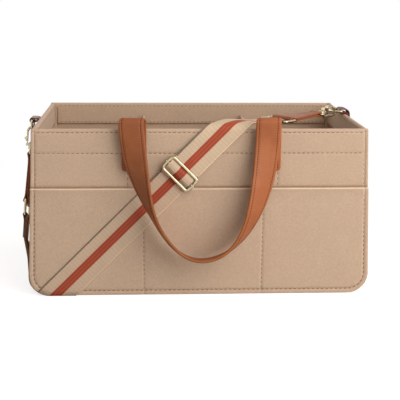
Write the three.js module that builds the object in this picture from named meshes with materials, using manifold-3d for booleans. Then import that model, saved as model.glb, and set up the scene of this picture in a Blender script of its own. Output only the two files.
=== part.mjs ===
// Felt nursery caddy with leather handles and a clip-on shoulder strap.
// Millimetres, +Z up, front face towards -Y, standing on z = 0.

import * as THREE from 'three';
import { mergeVertices } from 'three/addons/utils/BufferGeometryUtils.js';
import Module from 'manifold-3d';

const wasm = await Module();
wasm.setup();

// Body
const topWidth = 380;
const bottomWidth = 394;
const bodyDepth = 230;
const bodyHeight = 194;
const felt = 3;
const seamWidth = 5.5;
const hemHeight = 28;
const cornerRadius = 24;
const pocketHeight = 126.5;
const clearance = 0.3;
const overrun = 2;
const shortestEdge = 0.03;
const weldDistance = 1e-4;

// Base board and dividers
const boardThickness = 5;
const boardCorner = 8;
const dividerThickness = 3.5;
const dividerSpacing = 131;
const dividerDrop = 16;
const flapLength = 25;
const flapCorner = 6;
const tapeWidth = 19;
const tapeThickness = 1.2;
const tapeInset = 12;

// Handles
const handleSpacing = 153;
const handleWidth = 28;
const handleThickness = 3.2;
const tabDrop = 48;
const tabCorner = 4.5;
const foldRadius = 4.7;
const frontFoldRise = 7.4;
const backFoldRise = -8;
const loopDrop = 153.5;
const loopDrift = -1.9;
const loopSwell = 15.3;
const loopSteps = 44;

// Webbing
const webbingWidth = 35;
const webbingThickness = 1.2;
const webbingOffset = 168;
const reliefDepth = 0.5;
const endLoopTaper = 9;
const endLoopStitch = 28;

// Hardware
const ringTabWidth = 20;
const ringTabLeather = 1.5;
const ringTabLength = 36;
const dRingRadius = 13;
const dRingWire = 2.8;
const leftBarReach = 10.75;
const leftBarRise = -6;
const rightBarReach = -7.5;
const rightBarRise = 3.7;
const rightBarBack = 13;
const leftLeanShares = [0.0065, 0.45, 1.055];
const strapRingLength = 21;
const strapRingWire = 3.2;
const connectorLeather = 2;
const connectorWide = 32;
const connectorNarrow = 16;
const connectorLength = 62;
const ringTaper = 9;
const eyeTaper = 14;
const eyeWire = 2.4;
const eyeReach = 6;
const postRadius = 1.6;
const headShare = 1.7;
const headHeight = 1.3;
const barrelLength = 4.6;
const barrelRadius = 3.6;
const hookThickness = 4;
const hookWidth = 13;
const hookWall = 2.6;
const clawLength = 24.5;
const nubShare = 0.8;
const sliderLength = 20;
const sliderBar = 2.2;
const sliderX = -24;
const wireSides = 10;

// Materials
const material = (color, roughness, metalness = 0) =>
  new THREE.MeshStandardMaterial({ color, roughness, metalness });
const feltMaterial = material(0xc2a283, 0.95);
const boardMaterial = material(0xb99a7c, 0.95);
const leatherMaterial = material(0xa35f3c, 0.5);
const leatherDark = material(0x8a4a2c, 0.55);
const webbingMaterial = material(0xcdb18f, 0.75);
const goldMaterial = material(0xd8c39a, 0.3, 1);
const tapeMaterial = material(0xa88c70, 0.95);

// Every vector and solid below is in millimetres
const v3 = (x, y, z) => new THREE.Vector3(x, y, z);
const AXIS_X = v3(1, 0, 0);
const AXIS_Y = v3(0, 1, 0);
const AXIS_Z = v3(0, 0, 1);
const half = 0.5;

const toSolid = (geometry) => {
  const bare = geometry.clone();
  bare.deleteAttribute('normal');
  bare.deleteAttribute('uv');
  const merged = mergeVertices(bare, weldDistance);
  return new wasm.Manifold(new wasm.Mesh({
    numProp: 3,
    vertProperties: merged.attributes.position.array,
    triVerts: new Uint32Array(merged.index.array),
  }));
};

// A boolean leaves some edges far shorter than any real one, and those are closed up
const toGeometry = (solid) => {
  const mesh = solid.getMesh();
  const points = new THREE.BufferAttribute(new Float32Array(mesh.vertProperties), 3);
  const corner = (i) => v3().fromBufferAttribute(points, i);
  const stands = Array.from({ length: points.count }, (_, i) => i);
  const find = (i) => {
    let k = i;
    while (stands[k] !== k) k = stands[k];
    return k;
  };
  for (let t = 0; t < mesh.triVerts.length; t += 3) {
    for (let e = 0; e < 3; e += 1) {
      const a = find(mesh.triVerts[t + e]);
      const b = find(mesh.triVerts[t + ((e + 1) % 3)]);
      if (a !== b && corner(a).distanceTo(corner(b)) < shortestEdge) stands[b] = a;
    }
  }
  const index = [];
  for (let t = 0; t < mesh.triVerts.length; t += 3) {
    const [a, b, c] = [0, 1, 2].map((e) => find(mesh.triVerts[t + e]));
    if (a !== b && b !== c && c !== a) index.push(a, b, c);
  }
  const geometry = new THREE.BufferGeometry();
  geometry.setAttribute('position', points);
  geometry.setIndex(index);
  const flat = geometry.toNonIndexed();
  flat.computeVertexNormals();
  return flat;
};

const join = (...parts) => toGeometry(parts.map(toSolid).reduce((a, b) => a.add(b)));
const cut = (from, ...tools) => toGeometry(tools.map(toSolid).reduce((a, b) => a.subtract(b), toSolid(from)));
const meet = (a, b) => toGeometry(toSolid(a).intersect(toSolid(b)));

const extrude = (shape, depth, curveSegments = 8) =>
  new THREE.ExtrudeGeometry(shape, { depth, bevelEnabled: false, curveSegments });

// A shape drawn in X and Z, from y0 to y1
const slab = (shape, y0, y1, curveSegments) =>
  extrude(shape, y1 - y0, curveSegments)
    .applyMatrix4(new THREE.Matrix4().makeBasis(AXIS_X, AXIS_Z, v3(0, -1, 0)).setPosition(0, y1, 0));

// A shape drawn in Y and Z, from x0 to x1
const beam = (shape, x0, x1, curveSegments) =>
  extrude(shape, x1 - x0, curveSegments)
    .applyMatrix4(new THREE.Matrix4().makeBasis(AXIS_Y, AXIS_Z, AXIS_X).setPosition(x0, 0, 0));

// A shape drawn in X and Y, from z0 to z1
const plate = (shape, z0, z1, curveSegments) => extrude(shape, z1 - z0, curveSegments).translate(0, 0, z0);

const polygon = (points) => new THREE.Shape(points.map(([x, y]) => new THREE.Vector2(x, y)));

const roundedRectangle = (x0, y0, x1, y1, r) => {
  const shape = new THREE.Shape();
  shape.moveTo(x0 + r, y0);
  shape.lineTo(x1 - r, y0);
  shape.absarc(x1 - r, y0 + r, r, -Math.PI / 2, 0, false);
  shape.lineTo(x1, y1 - r);
  shape.absarc(x1 - r, y1 - r, r, 0, Math.PI / 2, false);
  shape.lineTo(x0 + r, y1);
  shape.absarc(x0 + r, y1 - r, r, Math.PI / 2, Math.PI, false);
  shape.lineTo(x0, y0 + r);
  shape.absarc(x0 + r, y0 + r, r, Math.PI, Math.PI * 1.5, false);
  return shape;
};

// A closed solid lofted through rings of the same number of points
const loft = (rings, closedLoop = false) => {
  const count = rings[0].length;
  const positions = rings.flat().flatMap((p) => [p.x, p.y, p.z]);
  const index = [];
  const spans = closedLoop ? rings.length : rings.length - 1;
  for (let i = 0; i < spans; i += 1) {
    const here = i * count;
    const next = ((i + 1) % rings.length) * count;
    for (let k = 0; k < count; k += 1) {
      const l = (k + 1) % count;
      index.push(here + k, here + l, next + l, here + k, next + l, next + k);
    }
  }
  if (!closedLoop) {
    const last = (rings.length - 1) * count;
    for (let k = 1; k < count - 1; k += 1) {
      index.push(0, k + 1, k, last, last + k, last + k + 1);
    }
  }
  const point = (i) => v3(positions[3 * i], positions[3 * i + 1], positions[3 * i + 2]);
  let volume = 0;
  for (let i = 0; i < index.length; i += 3) {
    volume += point(index[i]).dot(point(index[i + 1]).cross(point(index[i + 2])));
  }
  const geometry = new THREE.BufferGeometry();
  geometry.setAttribute('position', new THREE.Float32BufferAttribute(positions, 3));
  geometry.setIndex(volume < 0 ? index.reverse() : index);
  return geometry.toNonIndexed();
};

// A flat band through stations {p, w, n, t}: centre, half width vector, unit normal, half thickness
const band = (stations) => loft(stations.map(({ p, w, n, t }) => {
  const rise = n.clone().multiplyScalar(t);
  return [
    p.clone().add(w).add(rise),
    p.clone().sub(w).add(rise),
    p.clone().sub(w).sub(rise),
    p.clone().add(w).sub(rise),
  ];
}));

// A closed loop of round wire through points in the plane with the given normal
const wireLoop = (points, normal, radius) => loft(points.map((p, i) => {
  const before = points[(i + points.length - 1) % points.length];
  const after = points[(i + 1) % points.length];
  const side = after.clone().sub(before).cross(normal).normalize();
  return Array.from({ length: wireSides }, (_, k) => {
    const a = (k / wireSides) * Math.PI * 2;
    return p.clone()
      .addScaledVector(side, radius * Math.cos(a))
      .addScaledVector(normal, -radius * Math.sin(a));
  });
}), true);

const group = new THREE.Group();
const node = (name, geometry, surface) => {
  const mesh = new THREE.Mesh(geometry, surface);
  mesh.name = name;
  group.add(mesh);
  return mesh;
};

// Outline of the body seen from the front, drawn in by an inset and cut off at a height
const sideLean = (bottomWidth - topWidth) / 2 / (bodyHeight - cornerRadius);
const halfWidthAt = (z) => topWidth / 2 + sideLean * (bodyHeight - z);
const cornerCentre = bottomWidth / 2 - cornerRadius;

const bodyOutline = (inset, top) => {
  const r = cornerRadius - inset;
  const shape = new THREE.Shape();
  shape.moveTo(-(halfWidthAt(top) - inset), top);
  shape.lineTo(-(cornerCentre + r), cornerRadius);
  shape.absarc(-cornerCentre, cornerRadius, r, Math.PI, Math.PI * 1.5, false);
  shape.lineTo(cornerCentre, inset);
  shape.absarc(cornerCentre, cornerRadius, r, -Math.PI / 2, 0, false);
  shape.lineTo(halfWidthAt(top) - inset, top);
  shape.closePath();
  return shape;
};

// A strip that follows the outline down one side, along the base and up the other
const bodyStrip = (outer, inner, top) => {
  const shape = bodyOutline(outer, top);
  shape.autoClose = false;
  shape.lineTo(halfWidthAt(top) - inner, top);
  shape.lineTo(cornerCentre + cornerRadius - inner, cornerRadius);
  shape.absarc(cornerCentre, cornerRadius, cornerRadius - inner, 0, -Math.PI / 2, true);
  shape.lineTo(-cornerCentre, inner);
  shape.absarc(-cornerCentre, cornerRadius, cornerRadius - inner, -Math.PI / 2, -Math.PI, true);
  shape.lineTo(-(halfWidthAt(top) - inner), top);
  return shape;
};

// Levels and faces that the pieces share
const panelOuter = bodyDepth / 2;
const panelInner = panelOuter - felt;
const hemInner = panelInner - felt;
const pocketInner = panelOuter + clearance;
const pocketOuter = pocketInner + felt;
const hemBottom = bodyHeight - hemHeight;
const flangeDepth = seamWidth + felt;
const gussetEnd = panelInner - clearance;

// Shoulder webbing
// The webbing lies at 45 degrees on the front, folds over the rim and under the bottom left corner
const layInner = pocketOuter + clearance;
const rimRadius = felt + clearance;
const rimCentreY = -panelInner;
const rimCentreZ = bodyHeight - felt;
const rulingFront = (webbingWidth / 2) * Math.SQRT2;
const cornerLay = cornerRadius + clearance;
const cornerLayZ = webbingThickness + cornerLay;
const crossingX = -webbingOffset;

// Right chain: from the front rim to the right side's ring tab
const tabLow = bodyHeight - ringTabLength;
const rightBar = v3(halfWidthAt(bodyHeight) + rightBarReach, rightBarBack, bodyHeight + rightBarRise);
const rimExit = v3(bodyHeight - webbingOffset, rimCentreY, rimCentreZ + rimRadius + webbingThickness / 2);
const leftBarZ = bodyHeight + leftBarRise;
const leftBar = v3(-(halfWidthAt(leftBarZ) + leftBarReach), 0, leftBarZ);

// The left chain hangs along the side, which leans in towards the rim
const [leftOut, leftBack, leftUp] = leftLeanShares;
const leftLean = v3(leftOut + leftUp * sideLean, leftBack, leftUp);

// Lengths along a chain, counted from the webbing's side of the strap ring
const ringBarNear = strapRingWire / 2;
const ringBarFar = strapRingLength - strapRingWire / 2;
const eyeBar = ringBarFar + connectorLength - connectorLeather * 2;
const eyeTop = eyeBar + eyeReach;
const barrelStart = eyeTop + eyeWire / 2 + clearance;
const clawStart = barrelStart + barrelLength;
const clawEnd = clawStart + clawLength;
const wireSeat = clawEnd - hookWall - clearance - dRingWire / 2;
const chainLength = wireSeat + dRingRadius;

const chainFrame = (bar, direction, outward) => {
  const l = direction.clone().normalize();
  const n = outward.clone().addScaledVector(l, -outward.dot(l)).normalize();
  const w = n.clone().cross(l);
  const origin = bar.clone().addScaledVector(l, -chainLength);
  const at = (a, b, c) => origin.clone().addScaledVector(l, a).addScaledVector(w, b).addScaledVector(n, c);
  return { l, w, n, origin, bar, at };
};
const rightChain = chainFrame(rightBar, rightBar.clone().sub(rimExit), AXIS_Z);
const leftChain = chainFrame(leftBar, leftLean, v3(-1, 0, 0));
const chains = { left: leftChain, right: rightChain };

// A shape drawn along a chain and out of it, from one side of the chain to the other
const acrossChain = (chain, shape, w0, w1, curveSegments) =>
  extrude(shape, w1 - w0, curveSegments)
    .applyMatrix4(new THREE.Matrix4().makeBasis(chain.l, chain.n, chain.w.clone().negate())
      .setPosition(chain.at(0, w1, 0)));

// A shape drawn along and across a chain, from one height to the other
const overChain = (chain, shape, n0, n1, curveSegments) =>
  extrude(shape, n1 - n0, curveSegments)
    .applyMatrix4(new THREE.Matrix4().makeBasis(chain.l, chain.w, chain.n).setPosition(chain.at(0, 0, n0)));

// Profile of a doubled strap that opens round a bar at each end that has one
const strapProfile = (thickness, start, end, slit) => {
  const outer = (eye) => eye.bore + thickness;
  const shape = new THREE.Shape();
  const waist = thickness;
  if (start.bore) {
    shape.moveTo(start.at, -outer(start));
    shape.lineTo(start.at + start.taper, -waist);
  } else {
    shape.moveTo(start.at, -waist);
  }
  if (end.bore) {
    shape.lineTo(end.at - end.taper, -waist);
    shape.lineTo(end.at, -outer(end));
    shape.absarc(end.at, 0, outer(end), -Math.PI / 2, Math.PI / 2, false);
    shape.lineTo(end.at - end.taper, waist);
  } else {
    shape.lineTo(end.at, -waist);
    shape.lineTo(end.at, waist);
  }
  if (start.bore) {
    shape.lineTo(start.at + start.taper, waist);
    shape.lineTo(start.at, outer(start));
    shape.absarc(start.at, 0, outer(start), Math.PI / 2, Math.PI * 1.5, false);
  } else {
    shape.lineTo(start.at, waist);
  }
  const hole = (eye, side) => {
    const path = new THREE.Path();
    path.absarc(eye.at, 0, eye.bore, side * Math.PI / 2, -side * Math.PI / 2, false);
    path.lineTo(eye.at + side * (eye.taper - slit), 0);
    return path;
  };
  if (end.bore) shape.holes.push(hole(end, -1));
  if (start.bore) shape.holes.push(hole(start, 1));
  return shape;
};

// Front webbing: rulings run along X, so the band folds squarely over the rim
const frontProfile = (offset) => {
  const mid = offset + webbingThickness / 2;
  const points = [];
  points.push({ y: -(layInner + mid), z: -overrun, n: v3(0, -1, 0) });
  points.push({ y: -(layInner + mid), z: pocketHeight, n: v3(0, -1, 0) });
  const rimSteps = 6;
  for (let i = 0; i <= rimSteps; i += 1) {
    const a = Math.PI - (i / rimSteps) * (Math.PI / 2);
    const n = v3(0, Math.cos(a), Math.sin(a));
    const r = rimRadius + mid;
    points.push({ y: rimCentreY + r * n.y, z: rimCentreZ + r * n.z, n });
  }
  return points;
};

const stationAlongX = (x, y, z, n, t) => ({ p: v3(x, y, z), w: v3(rulingFront, 0, 0), n, t });

// The run inside the rim turns to follow the right chain
const insideStations = (offset, until, t) => {
  const mid = offset + webbingThickness / 2;
  const turn = webbingWidth + seamWidth;
  const w = rightChain.w.clone().multiplyScalar(-webbingWidth / 2);
  const lift = mid - webbingThickness;
  return [turn - chainLength, until].map((along, i) => {
    const turned = rimExit.clone().addScaledVector(rightChain.l, turn).addScaledVector(rightChain.n, offset);
    const p = i === 0 ? turned : rightChain.at(along, 0, lift);
    return { p, w, n: rightChain.n, t };
  });
};

const frontBand = (offset, until, bottom) => {
  const t = webbingThickness / 2;
  const stations = frontProfile(offset).map(({ y, z, n }, i) => {
    const level = i === 0 ? bottom : z;
    return stationAlongX(level - webbingOffset, y, level, n, t);
  });
  const folded = stations.slice(2);
  const rise = folded[folded.length - 1].p.z;
  folded.forEach((s) => { s.p.x = rise - webbingOffset - (rise - s.p.z) * half; });
  return band([...stations, ...insideStations(offset, until, t)]);
};

// Side webbing: rulings run along Y, so the band rolls round the corner
// It leaves the front at 45 degrees and comes in line with the left chain
const sideEnd = leftChain.at(0, 0, 0);
const flatRun = cornerCentre + crossingX;
const arcRun = cornerLay * Math.PI / 2;
const sideRise = sideEnd.z - cornerLayZ;
const sideRun = arcRun - flatRun + sideRise;
const sideTravel = sideEnd.y + layInner;
const sideBow = (sideTravel / sideRun - 1) / sideRun;
const sidePoint = (run) => {
  const y = -layInner + run + sideBow * run * run;
  const slope = 1 + 2 * sideBow * run;
  const w = v3(0, (webbingWidth / 2) * Math.hypot(1, slope), 0);
  const mid = webbingThickness / 2;
  const bend = run + flatRun;
  if (bend < 0) return { p: v3(crossingX - run, y, mid), w, n: v3(0, 0, -1) };
  if (bend < arcRun) {
    const a = bend / cornerLay;
    const n = v3(-Math.sin(a), 0, -Math.cos(a));
    return { p: v3(-cornerCentre, y, cornerLayZ).addScaledVector(n, cornerLay + mid), w, n };
  }
  const share = (bend - arcRun) / sideRise;
  const from = -(cornerCentre + cornerLay + mid);
  const n = v3(-sideRise, 0, sideEnd.x - from).normalize();
  return { p: v3(from + (sideEnd.x - from) * share, y, cornerLayZ + sideRise * share), w, n };
};
const sideBand = (grow = 0) => {
  const steps = 26;
  const stop = sideRun - endLoopStitch - (webbingWidth / 2) * Math.abs(leftChain.w.z);
  const t = webbingThickness / 2 + grow;
  const wider = (w) => w.clone().setLength(w.length() + grow);
  const stations = Array.from({ length: steps + 1 }, (_, i) => {
    const { p, w, n } = sidePoint(-rulingFront + ((stop + rulingFront) * i) / steps);
    return { p, w: wider(w), n, t };
  });
  const seam = leftChain.at(ringBarNear - endLoopStitch + overrun, 0, 0);
  const w = leftChain.w.clone().multiplyScalar((Math.sign(leftChain.w.y) * webbingWidth) / 2);
  return band([...stations, { p: seam, w: wider(w), n: leftChain.n, t }]);
};

// The side band and the front band cross at half their thickness
const frontTrim = () => slab(
  roundedRectangle(-bottomWidth, -bottomWidth, bottomWidth, bottomWidth, cornerRadius),
  -bodyDepth,
  -(layInner + webbingThickness / 2),
);
const layOutline = () => {
  const r = cornerLay + webbingThickness / 2;
  const shape = new THREE.Shape();
  shape.moveTo(-cornerCentre - r, bodyHeight + bodyDepth);
  shape.lineTo(-cornerCentre - r, cornerLayZ);
  shape.absarc(-cornerCentre, cornerLayZ, r, Math.PI, Math.PI * 1.5, false);
  shape.lineTo(bottomWidth, cornerLayZ - r);
  shape.lineTo(bottomWidth, bodyHeight + bodyDepth);
  shape.closePath();
  return shape;
};

const webbingLoop = (chain, bore) => acrossChain(
  chain,
  strapProfile(
    webbingThickness + clearance / 2,
    { at: ringBarNear - endLoopStitch },
    { at: ringBarNear, bore, taper: endLoopTaper },
    clearance,
  ),
  -(webbingWidth - clearance) / 2,
  (webbingWidth - clearance) / 2,
);

const loopBore = strapRingWire / 2 + clearance;
node('shoulder_webbing', join(
  meet(
    frontBand(0, ringBarNear - endLoopStitch + overrun, -rulingFront * 2),
    slab(layOutline(), -bodyDepth, bodyDepth),
  ),
  cut(sideBand(), frontTrim()),
  webbingLoop(leftChain, loopBore),
  webbingLoop(rightChain, loopBore),
), webbingMaterial);

// Room for the webbing in the bottom edge of the body
const webbingRelief = sideBand(reliefDepth);

// Felt panels with their hems turned in over the rim
const panelGeometry = () => {
  const sheet = slab(bodyOutline(0, bodyHeight), -panelOuter, -panelInner);
  const hem = slab(
    polygon([
      [-(halfWidthAt(hemBottom) - flangeDepth - clearance), hemBottom],
      [halfWidthAt(hemBottom) - flangeDepth - clearance, hemBottom],
      [halfWidthAt(bodyHeight) - flangeDepth - clearance, bodyHeight],
      [-(halfWidthAt(bodyHeight) - flangeDepth - clearance), bodyHeight],
    ]),
    -panelInner - felt / 2,
    -hemInner,
  );
  const profile = new THREE.Shape();
  profile.moveTo(-panelOuter, -overrun);
  profile.lineTo(-hemInner, -overrun);
  profile.lineTo(-hemInner, bodyHeight - felt);
  profile.absarc(-panelInner, bodyHeight - felt, felt, 0, Math.PI, false);
  profile.closePath();
  return meet(join(sheet, hem), beam(profile, -bottomWidth, bottomWidth));
};

const turnBack = (geometry) => geometry.clone().rotateZ(Math.PI);

node('front_panel', cut(panelGeometry(), webbingRelief), feltMaterial);
node('back_panel', turnBack(panelGeometry()), feltMaterial);

const pocketGeometry = () => slab(bodyOutline(0, pocketHeight), -pocketOuter, -pocketInner);
node('front_pocket', cut(pocketGeometry(), webbingRelief), feltMaterial);
node('back_pocket', turnBack(pocketGeometry()), feltMaterial);

// Sides and base in one strip, with its edges turned in behind the panels
const sideHem = (side) => {
  const shape = new THREE.Shape();
  shape.moveTo(halfWidthAt(hemBottom), hemBottom);
  shape.lineTo(halfWidthAt(bodyHeight) - felt * 2, hemBottom);
  shape.lineTo(halfWidthAt(bodyHeight) - felt * 2, bodyHeight - felt);
  shape.absarc(halfWidthAt(bodyHeight) - felt, bodyHeight - felt, felt, Math.PI, 0, true);
  shape.closePath();
  const block = slab(shape, -(hemInner - clearance), hemInner - clearance);
  return side > 0 ? block : block.rotateZ(Math.PI);
};
const gussetTop = bodyHeight - felt * half;
const flange = () => slab(bodyStrip(0, flangeDepth, gussetTop), -gussetEnd, -(gussetEnd - felt));
const gusset = join(
  slab(bodyStrip(0, felt, gussetTop), -gussetEnd, gussetEnd),
  flange(),
  turnBack(flange()),
  sideHem(1),
  sideHem(-1),
);
node('side_and_base_gusset', cut(gusset, webbingRelief), feltMaterial);

// Stiff board on the base
const boardBottom = felt + clearance;
const boardTop = boardBottom + boardThickness;
const boardEnd = gussetEnd - felt - clearance;
node('base_insert', plate(
  roundedRectangle(-cornerCentre, -boardEnd, cornerCentre, boardEnd, boardCorner),
  boardBottom,
  boardTop,
), boardMaterial);

// Dividers, held by strips of hook tape on their end flaps
const dividerBottom = Math.max(boardTop, flangeDepth) + clearance;
const dividerTop = bodyHeight - dividerDrop;
const flapOuter = panelInner - clearance - tapeThickness - clearance;
const flapTop = hemBottom - clearance;
const webEnd = hemInner - clearance;
const divider = (side) => {
  const x = side * dividerSpacing / 2;
  const web = polygon([
    [-flapOuter, dividerBottom],
    [flapOuter, dividerBottom],
    [flapOuter, flapTop],
    [webEnd, flapTop],
    [webEnd, dividerTop],
    [-webEnd, dividerTop],
    [-webEnd, flapTop],
    [-flapOuter, flapTop],
  ]);
  const flapShape = roundedRectangle(
    Math.min(x, x + side * flapLength),
    dividerBottom,
    Math.max(x, x + side * flapLength),
    flapTop,
    flapCorner,
  );
  const flapNear = slab(flapShape, -flapOuter, -(flapOuter - felt));
  const flapFar = slab(flapShape, flapOuter - felt, flapOuter);
  return join(beam(web, x - dividerThickness / 2, x + dividerThickness / 2), flapNear, flapFar);
};
const tape = (side, end) => {
  const inner = side * (dividerSpacing / 2 + (flapLength - tapeWidth) / 2);
  const outer = inner + side * tapeWidth;
  const near = flapOuter + clearance;
  const shape = roundedRectangle(
    Math.min(inner, outer),
    dividerBottom + tapeInset,
    Math.max(inner, outer),
    flapTop - tapeInset,
    felt,
  );
  return slab(shape, end > 0 ? near : -(near + tapeThickness), end > 0 ? near + tapeThickness : -near);
};
for (const [name, side] of [['left', -1], ['right', 1]]) {
  node(`divider_${name}`, divider(side), feltMaterial);
  node(`divider_${name}_front_tape`, tape(side, -1), tapeMaterial);
  node(`divider_${name}_back_tape`, tape(side, 1), tapeMaterial);
}

// Leather handles: two tabs sewn over the hem, a fold above them and a loop that hangs in front
const tabMid = panelOuter + clearance + handleThickness / 2;
const foldY = tabMid + foldRadius;
const limbY = foldY + foldRadius;
const handleTab = (side, foldZ) => {
  const x = side * handleSpacing / 2;
  const bottom = bodyHeight - tabDrop;
  const shape = new THREE.Shape();
  shape.moveTo(x - handleWidth / 2, foldZ);
  shape.lineTo(x - handleWidth / 2, bottom + tabCorner);
  shape.absarc(x - handleWidth / 2 + tabCorner, bottom + tabCorner, tabCorner, Math.PI, Math.PI * 1.5, false);
  shape.lineTo(x + handleWidth / 2 - tabCorner, bottom);
  shape.absarc(x + handleWidth / 2 - tabCorner, bottom + tabCorner, tabCorner, -Math.PI / 2, 0, false);
  shape.lineTo(x + handleWidth / 2, foldZ);
  shape.closePath();
  return slab(shape, -(tabMid + handleThickness / 2), -(tabMid - handleThickness / 2));
};
// The fold drifts a little sideways on its way from the tab to the limb
const handleFold = (side, foldZ) => {
  const start = clearance / foldRadius;
  const steps = 10;
  return band(Array.from({ length: steps + 1 }, (_, i) => {
    const share = i / steps;
    const angle = start + (Math.PI - start * 2) * share;
    const n = v3(0, Math.cos(angle), Math.sin(angle));
    const x = side * handleSpacing / 2 + loopDrift * (share * share * (3 - 2 * share));
    const p = v3(x, -foldY, foldZ).addScaledVector(n, foldRadius);
    return { p, w: v3(handleWidth / 2, 0, 0), n, t: handleThickness / 2 };
  }));
};

// Control points of one limb, from the fold to the middle of the loop, as shares of spacing and drop
const leftLimbShares = [[1, 0], [0.975, 0.36], [0.603, 1], [-0.021, 1]];
const rightLimbShares = [[1, 0], [0.981, 0.603], [0.637, 1], [0.021, 1]];
const leftTwistShare = 0.6;
const rightTwistShare = 0.96;
const quarterShare = 0.874;
const fullTwist = quarterShare * Math.PI / 2;
const handleLoop = (foldZ) => {
  const limb = (shares, side) => {
    const points = shares.map(([a, b]) =>
      v3(side * a * handleSpacing / 2 + loopDrift, 0, foldZ - b * loopDrop));
    return new THREE.CubicBezierCurve3(...points);
  };
  const limbs = [limb(leftLimbShares, -1), limb(rightLimbShares, 1)];
  const stations = [];
  for (let i = 0; i <= loopSteps; i += 1) {
    const along = (i / loopSteps) * 2;
    const left = along <= 1;
    const u = left ? along : 2 - along;
    const curve = limbs[left ? 0 : 1];
    const p = curve.getPointAt(u);
    const tangent = (u > 0 ? curve.getTangentAt(u) : v3(0, 0, -1)).multiplyScalar(left ? 1 : -1);
    const reach = THREE.MathUtils.clamp(u / (left ? leftTwistShare : rightTwistShare), 0, 1);
    const angle = fullTwist * (reach * reach * (3 - 2 * reach));
    const inPlane = v3(-tangent.z, 0, tangent.x);
    const w = inPlane.clone().multiplyScalar(Math.cos(angle)).addScaledVector(v3(0, -1, 0), Math.sin(angle));
    const n = tangent.clone().cross(w).normalize();
    p.y = -(limbY + loopSwell * Math.sin(angle));
    if (u === 0) p.z -= clearance;
    stations.push({ p, w: w.multiplyScalar(handleWidth / 2), n, t: handleThickness / 2 });
  }
  return band(stations);
};
const handles = [
  ['front', bodyHeight + frontFoldRise, (g) => g],
  ['back', bodyHeight + backFoldRise, turnBack],
];
for (const [name, foldZ, place] of handles) {
  node(`${name}_handle_tab_left`, place(handleTab(name === 'front' ? -1 : 1, foldZ)), leatherMaterial);
  node(`${name}_handle_tab_right`, place(handleTab(name === 'front' ? 1 : -1, foldZ)), leatherMaterial);
  node(`${name}_handle_fold_left`, place(handleFold(name === 'front' ? -1 : 1, foldZ)), leatherMaterial);
  node(`${name}_handle_fold_right`, place(handleFold(name === 'front' ? 1 : -1, foldZ)), leatherMaterial);
  node(`${name}_handle_loop`, place(handleLoop(foldZ)), leatherMaterial);
}

// Ring tabs: leather folded round the ring's bar and sewn to the outside of each side
const ringTab = (side, bar, over) => {
  const t = ringTabLeather;
  const bore = dRingWire / 2 + clearance + t / 2;
  const throat = over ? bodyHeight + clearance : bodyHeight - bore * 3;
  const near = (z) => halfWidthAt(Math.min(z, throat)) + clearance + t / 2;
  const far = (z) => near(z) + t + clearance;
  const barX = Math.abs(bar.x);
  const path = new THREE.CurvePath();
  const a = (x, z) => v3(x, side * bar.y, z);
  const turned = throat - t;
  const straight = (from, to) => path.add(new THREE.LineCurve3(from, to));
  const bend = (...points) => path.add(new THREE.CubicBezierCurve3(...points));
  const stations = [];
  const rings = [];
  const arcSteps = 10;
  if (over) {
    // Up the wall, inwards over the rim, round the bar and back
    const top = bar.z + bore;
    straight(a(far(tabLow), tabLow), a(far(turned), turned));
    bend(a(far(turned), turned), a(far(top), top), a(barX + bore * 2, top), a(barX, top));
    rings.push([Math.PI / 2, Math.PI * 1.5]);
    const bottom = bar.z - bore;
    bend(a(barX, bottom), a(barX + bore, bottom), a(near(throat), throat + bore), a(near(turned), turned));
    straight(a(near(turned), turned), a(near(tabLow), tabLow));
  } else {
    // Up the wall, outwards round the bar and back down outside the first layer
    const top = bar.z + bore;
    straight(a(near(tabLow), tabLow), a(near(throat), throat));
    bend(a(near(throat), throat), a(near(top), top), a(barX - bore * 2, top), a(barX, top));
    rings.push([Math.PI / 2, -Math.PI / 2]);
    const bottom = bar.z - bore;
    bend(a(barX, bottom), a(barX - bore * 2, bottom), a(far(throat), throat + bore), a(far(turned), turned));
    straight(a(far(turned), turned), a(far(tabLow), tabLow));
  }
  const put = (p, tangent) => {
    const n = v3(-tangent.z, 0, tangent.x).normalize();
    stations.push({ p, w: v3(0, -ringTabWidth / 2, 0), n, t: t / 2 });
  };
  const walk = (curve, steps, from) => {
    for (let i = from; i <= steps; i += 1) put(curve.getPoint(i / steps), curve.getTangent(i / steps));
  };
  walk(path.curves[0], 1, 0);
  walk(path.curves[1], 8, 1);
  const [a0, a1] = rings[0];
  for (let i = 1; i < arcSteps; i += 1) {
    const angle = a0 + ((a1 - a0) * i) / arcSteps;
    const turn = Math.sign(a1 - a0);
    put(a(barX + bore * Math.cos(angle), bar.z + bore * Math.sin(angle)),
      v3(-turn * Math.sin(angle), 0, turn * Math.cos(angle)));
  }
  walk(path.curves[2], 8, 0);
  walk(path.curves[3], 1, 1);
  const geometry = band(stations);
  return side > 0 ? geometry : geometry.rotateZ(Math.PI);
};
node('left_ring_tab', ringTab(-1, leftBar, false), leatherDark);
node('right_ring_tab', ringTab(1, rightBar, true), leatherDark);

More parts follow.
